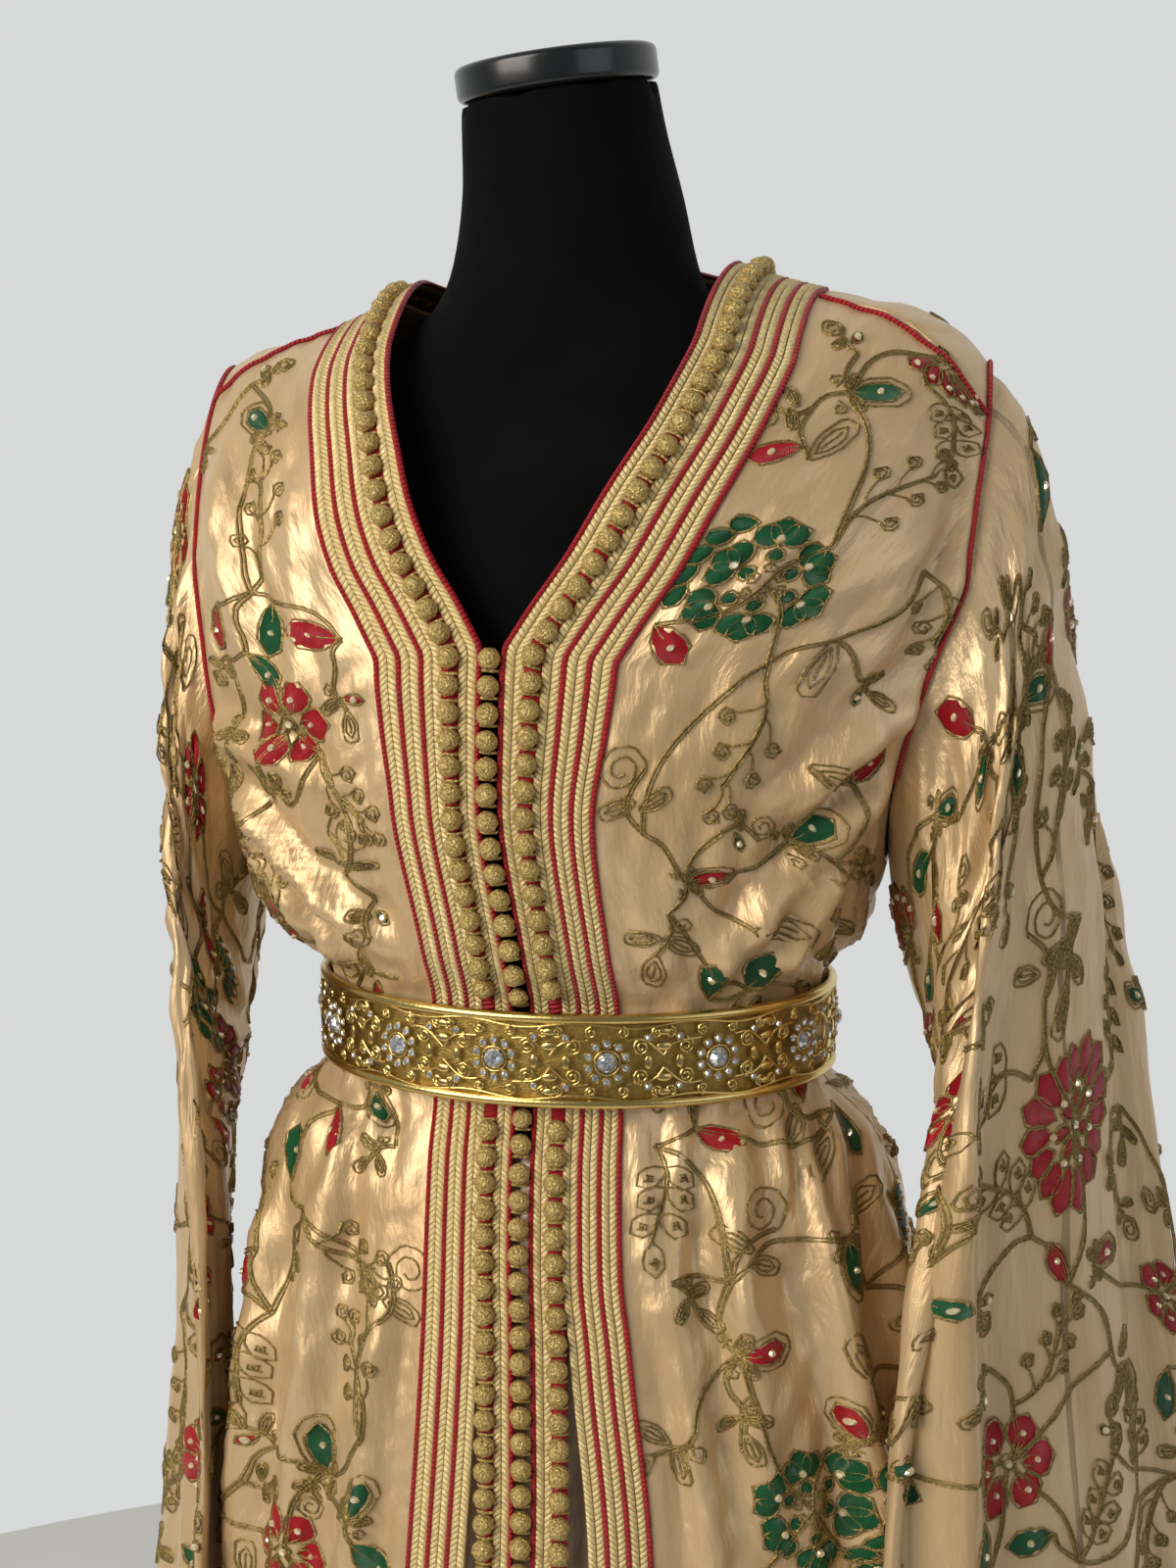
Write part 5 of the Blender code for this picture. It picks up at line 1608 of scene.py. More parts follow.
    def hand_over(self, name: str, shop: Workshop) -> None:
        """Makes and hands in the panel's embroidery."""
        shop.hand_in(self.cord_mesh(f"cordwork_{name}"), COUCHED, Slot.BRAID)
        shop.hand_in(self.fill_mesh(f"redwork_{name}", Tone.RED), RED_SILK, Slot.CORD)
        shop.hand_in(self.fill_mesh(f"greenwork_{name}", Tone.GREEN), GREEN_SILK, Slot.SATIN)
        shop.hand_in(self.stone_mesh(f"stones_{name}"), CHAMPAGNE_STONE, Slot.CRYSTAL)


def starts_of(lines: Sequence[Array]) -> list[int]:
    """Gives the number of points before each line."""
    return np.concatenate([[0], np.cumsum([len(line) for line in lines])])[:-1].astype(int).tolist()


CENTRED = (Kind.PEONY, Kind.CLUSTER, Kind.BLOOM, Kind.FAN)
SIZES = {
    Kind.PEONY: (0.060, 0.066),
    Kind.CLUSTER: (0.054, 0.060),
    Kind.BLOOM: (0.040, 0.046),
    Kind.FAN: (0.040, 0.046),
    Kind.BUD: (0.030, 0.038),
    Kind.BERRIES: (0.070, 0.084),
    Kind.SPRIG: (0.064, 0.076),
    Kind.SCROLL: (0.052, 0.064),
    Kind.LEAVES: (0.052, 0.066),
    Kind.LEAF: (0.026, 0.034),
}
MIX = (
    (Kind.BERRIES, 20),
    (Kind.SPRIG, 16),
    (Kind.SCROLL, 15),
    (Kind.LEAVES, 16),
    (Kind.BUD, 13),
    (Kind.BLOOM, 9),
    (Kind.FAN, 5),
    (Kind.CLUSTER, 4),
    (Kind.PEONY, 4),
)
SILKS = {
    Kind.PEONY: (Tone.RED,),
    Kind.CLUSTER: (Tone.GREEN,),
    Kind.BLOOM: (Tone.RED, Tone.RED, Tone.GREEN),
    Kind.FAN: (Tone.RED, Tone.GREEN),
    Kind.BUD: (Tone.RED, Tone.GREEN),
    Kind.BERRIES: (Tone.NONE,),
    Kind.SPRIG: (Tone.NONE,),
    Kind.SCROLL: (Tone.NONE, Tone.GREEN, Tone.RED),
    Kind.LEAVES: (Tone.NONE, Tone.NONE, Tone.GREEN, Tone.RED),
    Kind.LEAF: (Tone.NONE, Tone.RED, Tone.GREEN),
}


def reach_of(figure: Figure) -> tuple[float, float, float]:
    """Gives the middle and half size of what a figure covers."""
    if figure.kind in CENTRED:
        return figure.a, figure.z, figure.size * 0.50
    turn, half = math.radians(figure.turn), figure.size * 0.42
    return figure.a + half * math.cos(turn), figure.z + half * math.sin(turn), half


def fits(figure: Figure, others: Sequence[Figure], panel: Panel, low: float, high: float, room: float) -> bool:
    """Says whether a figure stays on the cloth and clear of the others."""
    x, y, half = reach_of(figure)
    if not low + half < y < high - half * 0.7:
        return False
    if not panel.rows.loop and not half < x < panel.width(y) - half:
        return False
    round_it = panel.width(y)
    for other in others:
        ox, oy, other_half = reach_of(other)
        across = x - ox
        if panel.rows.loop:
            across = (across + round_it / 2) % round_it - round_it / 2
        if math.hypot(across, y - oy) < (half + other_half) * room:
            return False
    return True


def scatter(panel: Panel, placed: Sequence[Figure], low: float, high: float, seed: int) -> list[Figure]:
    """Grows figures over the rest of a panel.

    Args:
        panel: The cloth.
        placed: The figures already there.
        low: Lowest distance up the cloth.
        high: Highest distance up the cloth.
        seed: Seed of their order.

    Returns:
        All the figures.
    """
    draw = random.Random(seed)
    figures = list(placed)
    kinds = [kind for kind, share in MIX for _ in range(share)]
    for cell, tries, small in ((0.068, 4, 1.0), (0.034, 3, 0.55)):
        z = high - 0.03
        while z > low + 0.02:
            a = 0.02 + draw.uniform(0, 0.03)
            while a < panel.width(z):
                for _ in range(tries):
                    kind = draw.choice(kinds) if small == 1.0 else draw.choice((Kind.LEAF, Kind.LEAVES, Kind.SCROLL))
                    size = draw.uniform(*SIZES[kind]) * (1.0 if kind is Kind.LEAF else small)
                    tone = draw.choice(SILKS[kind])
                    spot = (a + draw.uniform(-0.012, 0.012), z + draw.uniform(-0.012, 0.012))
                    made = Figure(kind, *spot, size, draw.uniform(0, 360), tone)
                    if fits(made, figures, panel, low, high, 0.94):
                        figures.append(made)
                        break
                a += cell
            z -= cell * 0.85
    return figures


# ---------------------------------------------------------------- the garment's surfaces
@dataclass
class Body:
    """The surfaces of the whole garment, with their wrinkles, shared by everything laid on them."""

    fronts: dict[int, Rows] = field(default_factory=dict)
    sleeves: dict[int, Rows] = field(default_factory=dict)
    back: Rows | None = None
    band: Band | None = None
    nape: Rows | None = None

    def shape(self) -> None:
        """Works out every surface."""
        self.fronts = {side: front_rows(side) for side in (-1, 1)}
        self.nape = Rows([nape_curve(t) for t in np.linspace(0.0, math.pi, NAPE_ROWS)])
        self.band = Band(self.fronts)
        self.back = back_rows(self.nape, self.fronts)
        self.sleeves = {side: sleeve_rows(side, self.fronts[side], self.back) for side in (-1, 1)}
        for side in (-1, 1):
            body_wrinkles(self.fronts[side], ROW_Z, self.edge(side), FRONT_CREASES[side], 100 + side)
            sleeve_wrinkles(self.sleeves[side], side)
        body_wrinkles(self.back, self.back_heights(), np.zeros(len(self.back.length)), BACK_CREASES, 200)

    def edge(self, side: int) -> Array:
        """Gives where a front's free cloth begins along each row."""
        opening = "open_left" if side < 0 else "open_right"
        return TRIM_END * column(SPANS, "trim", "z", ROW_Z) + column(SPANS, opening, "z", ROW_Z)

    @staticmethod
    def back_heights() -> Array:
        """Gives the height of each of the back's rows."""
        return np.concatenate([np.linspace(1.375, YOKE_Z, BACK_SEAM_ROWS, endpoint=False), BACK_HEIGHTS])

    def front_panel(self, side: int) -> Panel:
        """Gives a front as a panel to embroider."""
        rows = self.fronts[side]
        return Panel(rows, climb_of(rows, ROW_Z), self.edge(side))

    def back_panel(self) -> Panel:
        """Gives the back as a panel to embroider."""
        return Panel(self.back, climb_of(self.back, self.back_heights()), np.zeros(len(self.back.length)))

    def sleeve_panel(self, side: int) -> Panel:
        """Gives a sleeve as a panel to embroider, with distances falling from 0 at the armhole."""
        rows = self.sleeves[side]
        middle = rows.points[:, SAMPLES // 10]
        run = np.concatenate([[0.0], np.cumsum(np.linalg.norm(np.diff(middle, axis=0), axis=1))])
        return Panel(rows, -run, np.zeros(len(rows.length)))


@dataclass
class Cloth:
    """The cut satin pieces of the kaftan."""

    shop: Workshop
    body: Body
    columns: int = 46

    def front(self, side: int) -> None:
        """Makes one front, turned under its trimming."""
        rows = self.body.fronts[side]
        label = "left" if side < 0 else "right"
        factor = column(SPANS, "trim", "z", ROW_Z)
        opening = column(SPANS, f"open_{label}", "z", ROW_Z)
        start = PANEL_START * factor + opening
        end = self.body.edge(side)
        under = np.linspace(0.0, 1.0, 7)[:-1]
        free = np.linspace(0.0, 1.0, self.columns)
        distance = np.concatenate(
            [start[:, None] + (end - start)[:, None] * under, end[:, None] + (rows.length - end)[:, None] * free], axis=1
        )
        sunk = np.concatenate([np.full(5, -0.0009), [-0.0005], np.zeros(self.columns)])
        number = np.arange(len(ROW_Z), dtype=float)[:, None]
        outer, normals = rows.at(number, distance, sunk[None, :] + 0 * distance)
        piece = cloth_shell(f"cloth_front_{label}", outer, normals, self.flat_of(outer))
        self.shop.hand_in(piece, SATIN, Slot.SATIN, [f"front_{label}"])

    @staticmethod
    def flat_of(outer: Array) -> Array:
        """Gives the flat place of each point of a grid."""
        across = np.linalg.norm(np.diff(outer, axis=1), axis=-1)
        u = np.concatenate([np.zeros((len(outer), 1)), np.cumsum(across, axis=1)], axis=1)
        along = np.linalg.norm(np.diff(outer[:, outer.shape[1] // 2], axis=0), axis=1)
        v = -np.concatenate([[0.0], np.cumsum(along)])[:, None] + 0 * u
        return np.stack([u, v], axis=-1)

    def back(self) -> None:
        """Makes the back, and its collar under the trimming of the nape."""
        rows = self.body.back
        columns = 112
        number = np.arange(len(rows.length), dtype=float)[:, None]
        distance = rows.length[:, None] * np.linspace(0.0, 1.0, columns)[None, :]
        outer, normals = rows.at(number, distance)
        piece = cloth_shell("cloth_back", outer, normals, self.flat_of(outer))
        self.shop.hand_in(piece, SATIN, Slot.SATIN, ["back"])
        factor = float(column(SPANS, "trim", "z", SEAM_Z))
        reach = np.linspace(PANEL_START, TRIM_END + 0.003, 8) * factor
        number = np.arange(NAPE_ROWS, dtype=float)[:, None]
        sunk = np.array([-0.0007] * 6 + [-0.0008, -0.0012])
        outer, normals = self.body.nape.at(number, reach[None, :] + 0 * number, sunk[None, :] + 0 * number)
        collar = cloth_shell("cloth_collar", outer, normals, self.flat_of(outer))
        self.shop.hand_in(collar, SATIN, Slot.SATIN)

    def sleeve(self, side: int) -> None:
        """Makes one sleeve, open at the cuff."""
        rows = self.body.sleeves[side]
        label = "left" if side < 0 else "right"
        columns = 90
        number = np.arange(len(rows.length), dtype=float)[:, None]
        share = np.linspace(0.0, 1.0, columns, endpoint=False)[None, :]
        outer, normals = rows.at(number, rows.length[:, None] * share)
        piece = cloth_shell(f"cloth_sleeve_{label}", outer, normals, self.flat_of(outer), closed=True)
        self.shop.hand_in(piece, SATIN, Slot.SATIN, [f"sleeve_{label}"])

    def inner(self) -> None:
        """Makes the plain panel behind the opening."""
        heights = np.linspace(0.984, HEM_Z, 110)
        bearings = np.radians(np.linspace(-24.0, 24.0, 44))
        angle, z = np.meshgrid(bearings, heights)
        rows = Rows(ring_point(angle, z))
        deep = smooth((HEM_Z, 0.984), (0.022, 0.0055), heights)[:, None]
        across = np.linspace(0.0, 1.0, SAMPLES)[None, :]
        fold = np.sin(TAU * across * 5.0 + 1.5 * np.sin(heights * 5)[:, None])
        free = step_up(0.97 - heights, 0.0, 0.25)[:, None]
        soft = mottle(across * 8, heights[:, None] * 6, 77)
        rows.press(-deep + free * (0.0022 * fold - 0.0022) + 0.0006 * soft)
        number = np.arange(len(heights), dtype=float)[:, None]
        outer, normals = rows.at(number, rows.length[:, None] * np.linspace(0, 1, 36)[None, :])
        piece = cloth_shell("cloth_inner_panel", outer, normals, self.flat_of(outer))
        self.shop.hand_in(piece, PLAIN_SATIN, Slot.INNER, ["inner_panel"])

    def make(self) -> None:
        """Makes all of them."""
        for side in (-1, 1):
            self.front(side)
            self.sleeve(side)
        self.back()
        self.inner()


# ---------------------------------------------------------------- trimming
def half_round(width: float, rise: float, base: float, count: int = 6) -> Array:
    """Gives the outline of a rounded strip: (across, height) from its low edge over the top."""
    turn = np.linspace(math.pi, 0.0, count)
    top = np.stack([width / 2 * (1 + np.cos(turn)), base + (rise - base) * np.sin(turn)], -1)
    return np.concatenate([top, [[width, 0.0001], [0.0, 0.0001]]])


@dataclass
class Trimmings:
    """Braids, cords and ball buttons, sewn along the edges."""

    shop: Workshop
    body: Body
    stitch: float = 0.0028
    ball: float = 0.0052
    ball_pitch: float = 0.0123

    def strip(self, lane: Lane, outline: Array, step: float, lowest: float = 0.0) -> tuple[Array, list[Array], Array]:
        """Sweeps an outline along a lane from hem to hem."""
        free = lane.start < PANEL_START
        numbers = self.body.band.walk((lane.start + lane.end) / 2, step, free, lowest)
        grid = self.body.band.at(numbers[:, None], lane.start + outline[None, :, 0], outline[None, :, 1], free)
        points, faces = sweep(grid)
        run = np.arange(len(numbers)) * step
        share = np.linspace(0.0, 1.0, len(outline))
        uv = np.stack(np.broadcast_arrays(run[:, None], share[None, :]), -1).reshape(-1, 2)
        return points, faces, uv

    def braid(self, number: int) -> None:
        """Makes a braid: a flat ribbon with two columns of slanted stitches."""
        lane = LANES[f"braid_{number}"]
        width = lane.end - lane.start
        batch = Batch()
        # the flat ribbon under the stitches is painted shade: the braid's thread darkened for the gaps between stitches
        batch.add(*self.strip(lane, half_round(width, 0.0011, 0.0009, 4), 0.006))
        ground = batch.build(f"braid_painted_shade_{number}")
        face_out(ground)
        self.shop.hand_in(ground, BRAID_SHADE_GROUND, Slot.BRAID)
        batch = Batch()
        free = lane.start < PANEL_START
        middle = (lane.start + lane.end) / 2
        numbers = self.body.band.walk(middle, self.stitch, free)
        count = np.arange(len(numbers), dtype=float)
        half, slant = 0.47, 0.95
        for way in (-1, 1):
            # four corners and a two-point ridge: (along in stitches, across, height)
            form = (
                (-half, 0.0003, 0.0010),
                (half, 0.0003, 0.0010),
                (half - slant, width * 0.50, 0.0009),
                (-half - slant, width * 0.50, 0.0009),
                (-0.12, 0.0006, 0.0024),
                (-slant * 0.85, width * 0.41, 0.0023),
            )
            places = []
            for along, across, height in form:
                row = np.interp(count + along, count, numbers)
                places.append(self.body.band.at(row, middle + way * across, height, free))
            points = np.stack(places, axis=1).reshape(-1, 3)
            first = (np.arange(len(numbers)) * 6)[:, None]
            quads = np.array([[0, 4, 5, 3], [4, 1, 2, 5]])
            ends = np.array([[0, 1, 4], [2, 3, 5]])
            if way > 0:
                quads, ends = quads[:, ::-1], ends[:, ::-1]
            batch.add(points, [(quads[None] + first[:, :, None]).reshape(-1, 4), (ends[None] + first[:, :, None]).reshape(-1, 3)])
        piece = batch.build(f"braidwork_{number}")
        face_out(piece)
        self.shop.hand_in(piece, BRAID_GOLD, Slot.BRAID, [f"braid_{number}"])

    def cord(self, number: int) -> None:
        """Makes one of the red cords beside the braids."""
        lane = LANES[f"cord_{number}"]
        batch = Batch()
        outline = half_round((lane.end - lane.start) * 1.20, CORD_H * 1.10, 0.0003, 7)
        outline[:, 0] -= (lane.end - lane.start) * 0.10
        batch.add(*self.strip(lane, outline, 0.0035))
        piece = batch.build(f"silk_cord_{number}")
        face_out(piece)
        self.shop.hand_in(piece, RED_CORD, Slot.CORD, [f"cord_{number}"])

    def seam_cord(self, name: str, line: Array, normals: Array, node: str) -> None:
        """Makes the cord on a shoulder or armhole seam.

        Args:
            name: The piece's name.
            line: Points along the seam.
            normals: The cloth's normals there.
            node: The solid it stands for.
        """
        run = np.concatenate([[0.0], np.cumsum(np.linalg.norm(np.diff(line, axis=0), axis=1))])
        at = np.linspace(0.0, run[-1], max(8, int(run[-1] / 0.0035)))
        line = np.stack([np.interp(at, run, line[:, k]) for k in range(3)], -1)
        normals = np.stack([np.interp(at, run, normals[:, k]) for k in range(3)], -1)
        way = np.gradient(line, axis=0)
        way /= np.linalg.norm(way, axis=1, keepdims=True)
        side = np.cross(normals, way)
        turn = np.arange(8) * TAU / 8
        radius = CORD_W / 2
        ring = (line + normals * radius * 0.8)[:, None, :] + radius * (
            np.cos(turn)[None, :, None] * side[:, None, :] + np.sin(turn)[None, :, None] * normals[:, None, :]
        )
        points, faces = sweep(ring)
        uv = np.stack(np.broadcast_arrays(at[:, None], (turn / TAU)[None, :]), -1).reshape(-1, 2)
        batch = Batch()
        batch.add(points, faces, uv)
        piece = batch.build(name)
        face_out(piece)
        self.shop.hand_in(piece, RED_CORD, Slot.CORD, [node])

    def seam_cords(self) -> None:
        """Makes the cords along both shoulder seams and round both armholes."""
        for side, label in ((-1, "left"), (1, "right")):
            front, back = self.body.fronts[side], self.body.back
            start = self.body.edge(side)[0]
            reach = np.linspace(start + 0.001, front.length[0] - 0.002, 60)
            self.seam_cord(f"silk_shoulder_{label}", *front.at(1.2, reach), f"shoulder_cord_{label}")
            stop = int(np.argmin(np.abs(ROW_Z - 1.170)))
            rows = np.arange(stop, 0.5, -1.0)
            ahead, ahead_normal = front.at(rows, front.length[rows.astype(int)] - 0.0014)
            steps = np.arange(1.0, BACK_SEAM_ROWS + 24.0)
            reach = back.length[steps.astype(int)] - 0.0014 if side > 0 else np.full(len(steps), 0.0014)
            behind, behind_normal = back.at(steps, reach)
            line = np.concatenate([ahead, behind])
            self.seam_cord(f"silk_armhole_{label}", line, np.concatenate([ahead_normal, behind_normal]), f"armhole_cord_{label}")

    def knot(self) -> tuple[Array, list[Array]]:
        """Shapes one crocheted ball: a small sphere with a worked surface."""
        rings, sides = 9, 15
        climb = np.linspace(-math.pi / 2, math.pi / 2, rings)[:, None]
        turn = (np.arange(sides) * TAU / sides)[None, :]
        swell = 1.0 + 0.06 * np.cos(7 * turn + 9.0 * climb) * np.cos(climb)
        x, y = np.cos(climb) * np.cos(turn) * swell, np.cos(climb) * np.sin(turn) * swell
        z = np.sin(climb) * swell * 0.94
        return np.stack([x, y, z], -1).reshape(-1, 3), [grid_faces(rings, sides, True)]

    def balls(self, name: str, middles: Array, ways: Array, normals: Array, sizes: Array, node: str) -> None:
        """Sets a ball and its loop at each place.

        Args:
            name: The piece's name.
            middles: The balls' middles.
            ways: The direction of the row there.
            normals: The cloth's normals there.
            sizes: The balls' radii.
            node: The solid that they stand for.
        """
        form, faces = self.knot()
        draw = random.Random(len(middles))
        batch = Batch()
        turn = np.linspace(-0.3, math.pi + 0.3, 9)
        small = np.arange(5) * TAU / 5
        for middle, way, normal, size in zip(middles, ways, normals, sizes):
            side = np.cross(normal, way)
            spin = draw.uniform(0, TAU)
            c, s = math.cos(spin), math.sin(spin)
            ahead, aside = c * way + s * side, c * side - s * way
            tilt = normal + 0.25 * draw.uniform(-1, 1) * way
            axes = np.stack([ahead, aside, tilt / np.linalg.norm(tilt)])
            batch.add(middle + size * form @ axes, faces, form[:, :2] * size)
            # the loop over the ball's shank, a thin cord lying across the row
            foot = middle - normal * size * 0.62 + way * size * 1.02
            path = foot + side * (np.cos(turn) * 0.0040)[:, None] + normal * (np.sin(turn) * 0.0024)[:, None]
            out = np.cos(turn)[:, None] * side + np.sin(turn)[:, None] * normal
            ring = path[:, None, :] + 0.0008 * (
                np.cos(small)[None, :, None] * out[:, None, :] + np.sin(small)[None, :, None] * way
            )
            batch.add(*sweep(ring))
        piece = batch.build(name)
        face_out(piece)
        self.shop.hand_in(piece, BALL_GOLD, Slot.BUTTON, [node])

    def buttons(self) -> None:
        """Makes the rows of ball buttons and the red thread ribbon beneath them."""
        band = self.body.band
        lane = LANES["lane_0"]
        middle = (lane.start + lane.end) / 2
        numbers = band.walk(middle, self.ball_pitch, True, BUTTON_END_Z)
        places = band.at(numbers, middle, 0.0, True)
        heights = places[:, 2]
        shown = (heights < BELT_LOW - 0.004) | (heights > BELT_HIGH + 0.004)
        near = np.minimum(np.abs(heights - BELT_LOW), np.abs(heights - BELT_HIGH))
        sizes = self.ball * np.clip(0.78 + near / 0.05, 0.78, 1.0)
        middles = band.at(numbers, middle, sizes * 0.82, True)
        normals = middles - places
        normals /= np.linalg.norm(normals, axis=1, keepdims=True)
        ways = np.gradient(middles, axis=0)
        ways -= normals * np.sum(ways * normals, axis=1, keepdims=True)
        ways /= np.linalg.norm(ways, axis=1, keepdims=True)
        pick = [v[shown] for v in (middles, ways, normals, sizes)]
        self.balls("ball_buttons_neck", *pick, "button_row_neck")
        batch = Batch()
        batch.add(*self.strip(lane, half_round(lane.end - lane.start, 0.0016, 0.0006, 6), 0.005))
        ribbon = batch.build("button_ribbon")
        face_out(ribbon)
        self.shop.hand_in(ribbon, RED_CORD, Slot.CORD)

        z = np.arange(V_POINT_Z - self.ball_pitch * 0.4, BUTTON_END_Z, -self.ball_pitch)
        x = column(SPANS, "swing", "z", z)
        on = front_point(x, z)
        ahead = np.cross(front_point(x + 0.002, z) - on, front_point(x, z + 0.002) - on)
        ahead /= np.linalg.norm(ahead, axis=1, keepdims=True)
        shown = (z < BELT_LOW - 0.004) | (z > BELT_HIGH + 0.004)
        near = np.minimum(np.abs(z - BELT_LOW), np.abs(z - BELT_HIGH))
        sizes = self.ball * np.clip(0.78 + near / 0.05, 0.78, 1.0)
        way = np.gradient(on, axis=0)
        way /= np.linalg.norm(way, axis=1, keepdims=True)
        pick = [v[shown] for v in (on + ahead * sizes[:, None] * 0.85, way, ahead, sizes)]
        self.balls("ball_buttons_middle", *pick, "button_row_middle")

    def make(self) -> None:
        """Makes all the trimming."""
        for number in (1, 2, 3, 4):
            self.braid(number)
            self.cord(number)
        self.seam_cords()
        self.buttons()


# ---------------------------------------------------------------- hard pieces, modelled with operators
def fresh() -> None:
    """Deselects everything."""
    bpy.ops.object.select_all(action="DESELECT")


def settle(piece: bpy.types.Object) -> bpy.types.Object:
    """Applies a piece's place, turn, scale and modifiers."""
    fresh()
    bpy.context.view_layer.objects.active = piece
    piece.select_set(True)
    bpy.ops.object.transform_apply(location=True, rotation=True, scale=True)
    for modifier in list(piece.modifiers):
        bpy.ops.object.modifier_apply(modifier=modifier.name)
    piece.select_set(False)
    return piece


def bevel(piece: bpy.types.Object, width: float, segments: int = 3) -> None:
    """Rounds a piece's sharp edges."""
    edge = piece.modifiers.new("edge", "BEVEL")
    edge.width, edge.segments, edge.limit_method = width, segments, "ANGLE"


def soften(piece: bpy.types.Object, angle: float = 40.0) -> None:
    """Shades a piece smooth except at its edges."""
    fresh()
    bpy.context.view_layer.objects.active = piece
    piece.select_set(True)
    bpy.ops.object.shade_smooth_by_angle(angle=math.radians(angle))
    piece.select_set(False)


def shape_of(piece: bpy.types.Object) -> tuple[Array, list[Array]]:
    """Takes a modelled piece's points and faces, and removes the piece."""
    points = np.array([v.co[:] for v in piece.data.vertices])
    groups: dict[int, list] = {}
    for polygon in piece.data.polygons:
        groups.setdefault(len(polygon.vertices), []).append(list(polygon.vertices))
    bpy.data.objects.remove(piece)
    return points, [np.array(g) for g in groups.values()]


@dataclass
class Belt:
    """The gold belt: a wall between rolled rims, filigree, crystals and a clasp."""

    shop: Workshop
    wall: float = 0.0024
    rim: float = 0.0052
    stones: int = 14
    stone: float = 0.0128
    lead: float = 0.30

    def face(self) -> Panel:
        """Gives the belt's outer face as a panel, with distances from behind round the left."""
        fine = np.linspace(-math.pi, math.pi, 721)
        depth = np.where(np.cos(fine) > 0, BELT_FRONT, BELT_BACK)
        radius = 1.0 / np.hypot(np.sin(fine) / BELT_SIDE, np.cos(fine) / depth)
        oval = np.stack([radius * np.sin(fine), -radius * np.cos(fine)], -1)
        out = np.stack([np.sin(fine) / BELT_SIDE**2, -np.cos(fine) / depth**2], -1)
        out /= np.linalg.norm(out, axis=1, keepdims=True)
        oval = oval + out * self.wall
        curves = [np.concatenate([oval, np.full((721, 1), z)], 1) for z in (BELT_HIGH, 1.0285, BELT_LOW)]
        rows = Rows(curves)
        rows.loop = True
        heights = np.array([BELT_HIGH, 1.0285, BELT_LOW])
        return Panel(rows, heights, np.zeros(3))

    def oval(self, out: float, z: float) -> bpy.types.Object:
        """Draws the belt's oval, wider by a distance."""
        fresh()
        bpy.ops.mesh.primitive_circle_add(vertices=240, radius=1.0, location=(0, 0, z))
        made = bpy.context.object
        for vertex in made.data.vertices:
            depth = BELT_FRONT if vertex.co.y < 0 else BELT_BACK
            vertex.co.x *= BELT_SIDE + out
            vertex.co.y *= depth + out
        return made

    def band(self) -> None:
        """Makes the wall by drawing the oval up and thickening it outwards."""
        piece = self.oval(0.0, BELT_LOW + self.rim * 0.8)
        piece.name = "belt_ground"
        bpy.context.view_layer.objects.active = piece
        bpy.ops.object.mode_set(mode="EDIT")
        bpy.ops.mesh.select_all(action="SELECT")
        rise = BELT_HIGH - BELT_LOW - 1.6 * self.rim
        bpy.ops.mesh.extrude_region_move(TRANSFORM_OT_translate={"value": (0, 0, rise)})
        bpy.ops.object.mode_set(mode="OBJECT")
        thick = piece.modifiers.new("wall", "SOLIDIFY")
        thick.thickness, thick.offset = self.wall, 1.0
        settle(piece)
        face_out(piece)
        soften(piece)
        self.shop.hand_in(piece, BELT_DARK, Slot.GOLD, ["belt_band"])

    def rims(self) -> None:
        """Makes the two rolled rims."""
        half = self.rim / 2
        for label, z in (("low", BELT_LOW + half), ("high", BELT_HIGH - half)):
            piece = self.oval(self.wall / 2, z)
            fresh()
            bpy.context.view_layer.objects.active = piece
            piece.select_set(True)
            bpy.ops.object.convert(target="CURVE")
            piece = bpy.context.object
            piece.data.bevel_depth = half
            piece.data.bevel_resolution = 3
            bpy.ops.object.convert(target="MESH")
            piece = bpy.context.object
            piece.name = f"belt_roll_{label}"
            settle(piece)
            face_out(piece)
            soften(piece, 60.0)
            self.shop.hand_in(piece, BELT_GOLD, Slot.GOLD, [f"belt_rim_{label}"])

    def gem(self, sides: int, crown: float) -> tuple[Array, list[Array]]:
        """Models a faceted crystal of radius 1, rising along +z."""
        fresh()
        bpy.ops.mesh.primitive_cone_add(vertices=sides, radius1=1.0, radius2=0.80, depth=0.30, location=(0, 0, 0.15))
        piece = bpy.context.object
        bpy.ops.object.mode_set(mode="EDIT")
        bpy.context.tool_settings.mesh_select_mode = (False, False, True)
        bpy.ops.mesh.select_all(action="DESELECT")
        bpy.ops.object.mode_set(mode="OBJECT")
        for polygon in piece.data.polygons:
            polygon.select = polygon.normal.z > 0.9
        bpy.ops.object.mode_set(mode="EDIT")
        bpy.ops.mesh.extrude_region_move(TRANSFORM_OT_translate={"value": (0, 0, crown)})
        bpy.ops.transform.resize(value=(0.62, 0.62, 1.0))
        bpy.ops.object.mode_set(mode="OBJECT")
        settle(piece)
        return shape_of(piece)

    def plate(self) -> tuple[Array, list[Array]]:
        """Models a small oval plate with a soft dome."""
        fresh()
        bpy.ops.mesh.primitive_uv_sphere_add(segments=14, ring_count=6, radius=1.0)
        piece = bpy.context.object
        bpy.ops.transform.resize(value=(1.0, 1.0, 0.35))
        settle(piece)
        return shape_of(piece)

    def ring(self, beads: int) -> tuple[Array, list[Array]]:
        """Models the ring that a crystal sits in."""
        fresh()
        bpy.ops.mesh.primitive_torus_add(major_segments=beads, minor_segments=4, major_radius=1.0, minor_radius=0.11)
        piece = bpy.context.object
        settle(piece)
        return shape_of(piece)

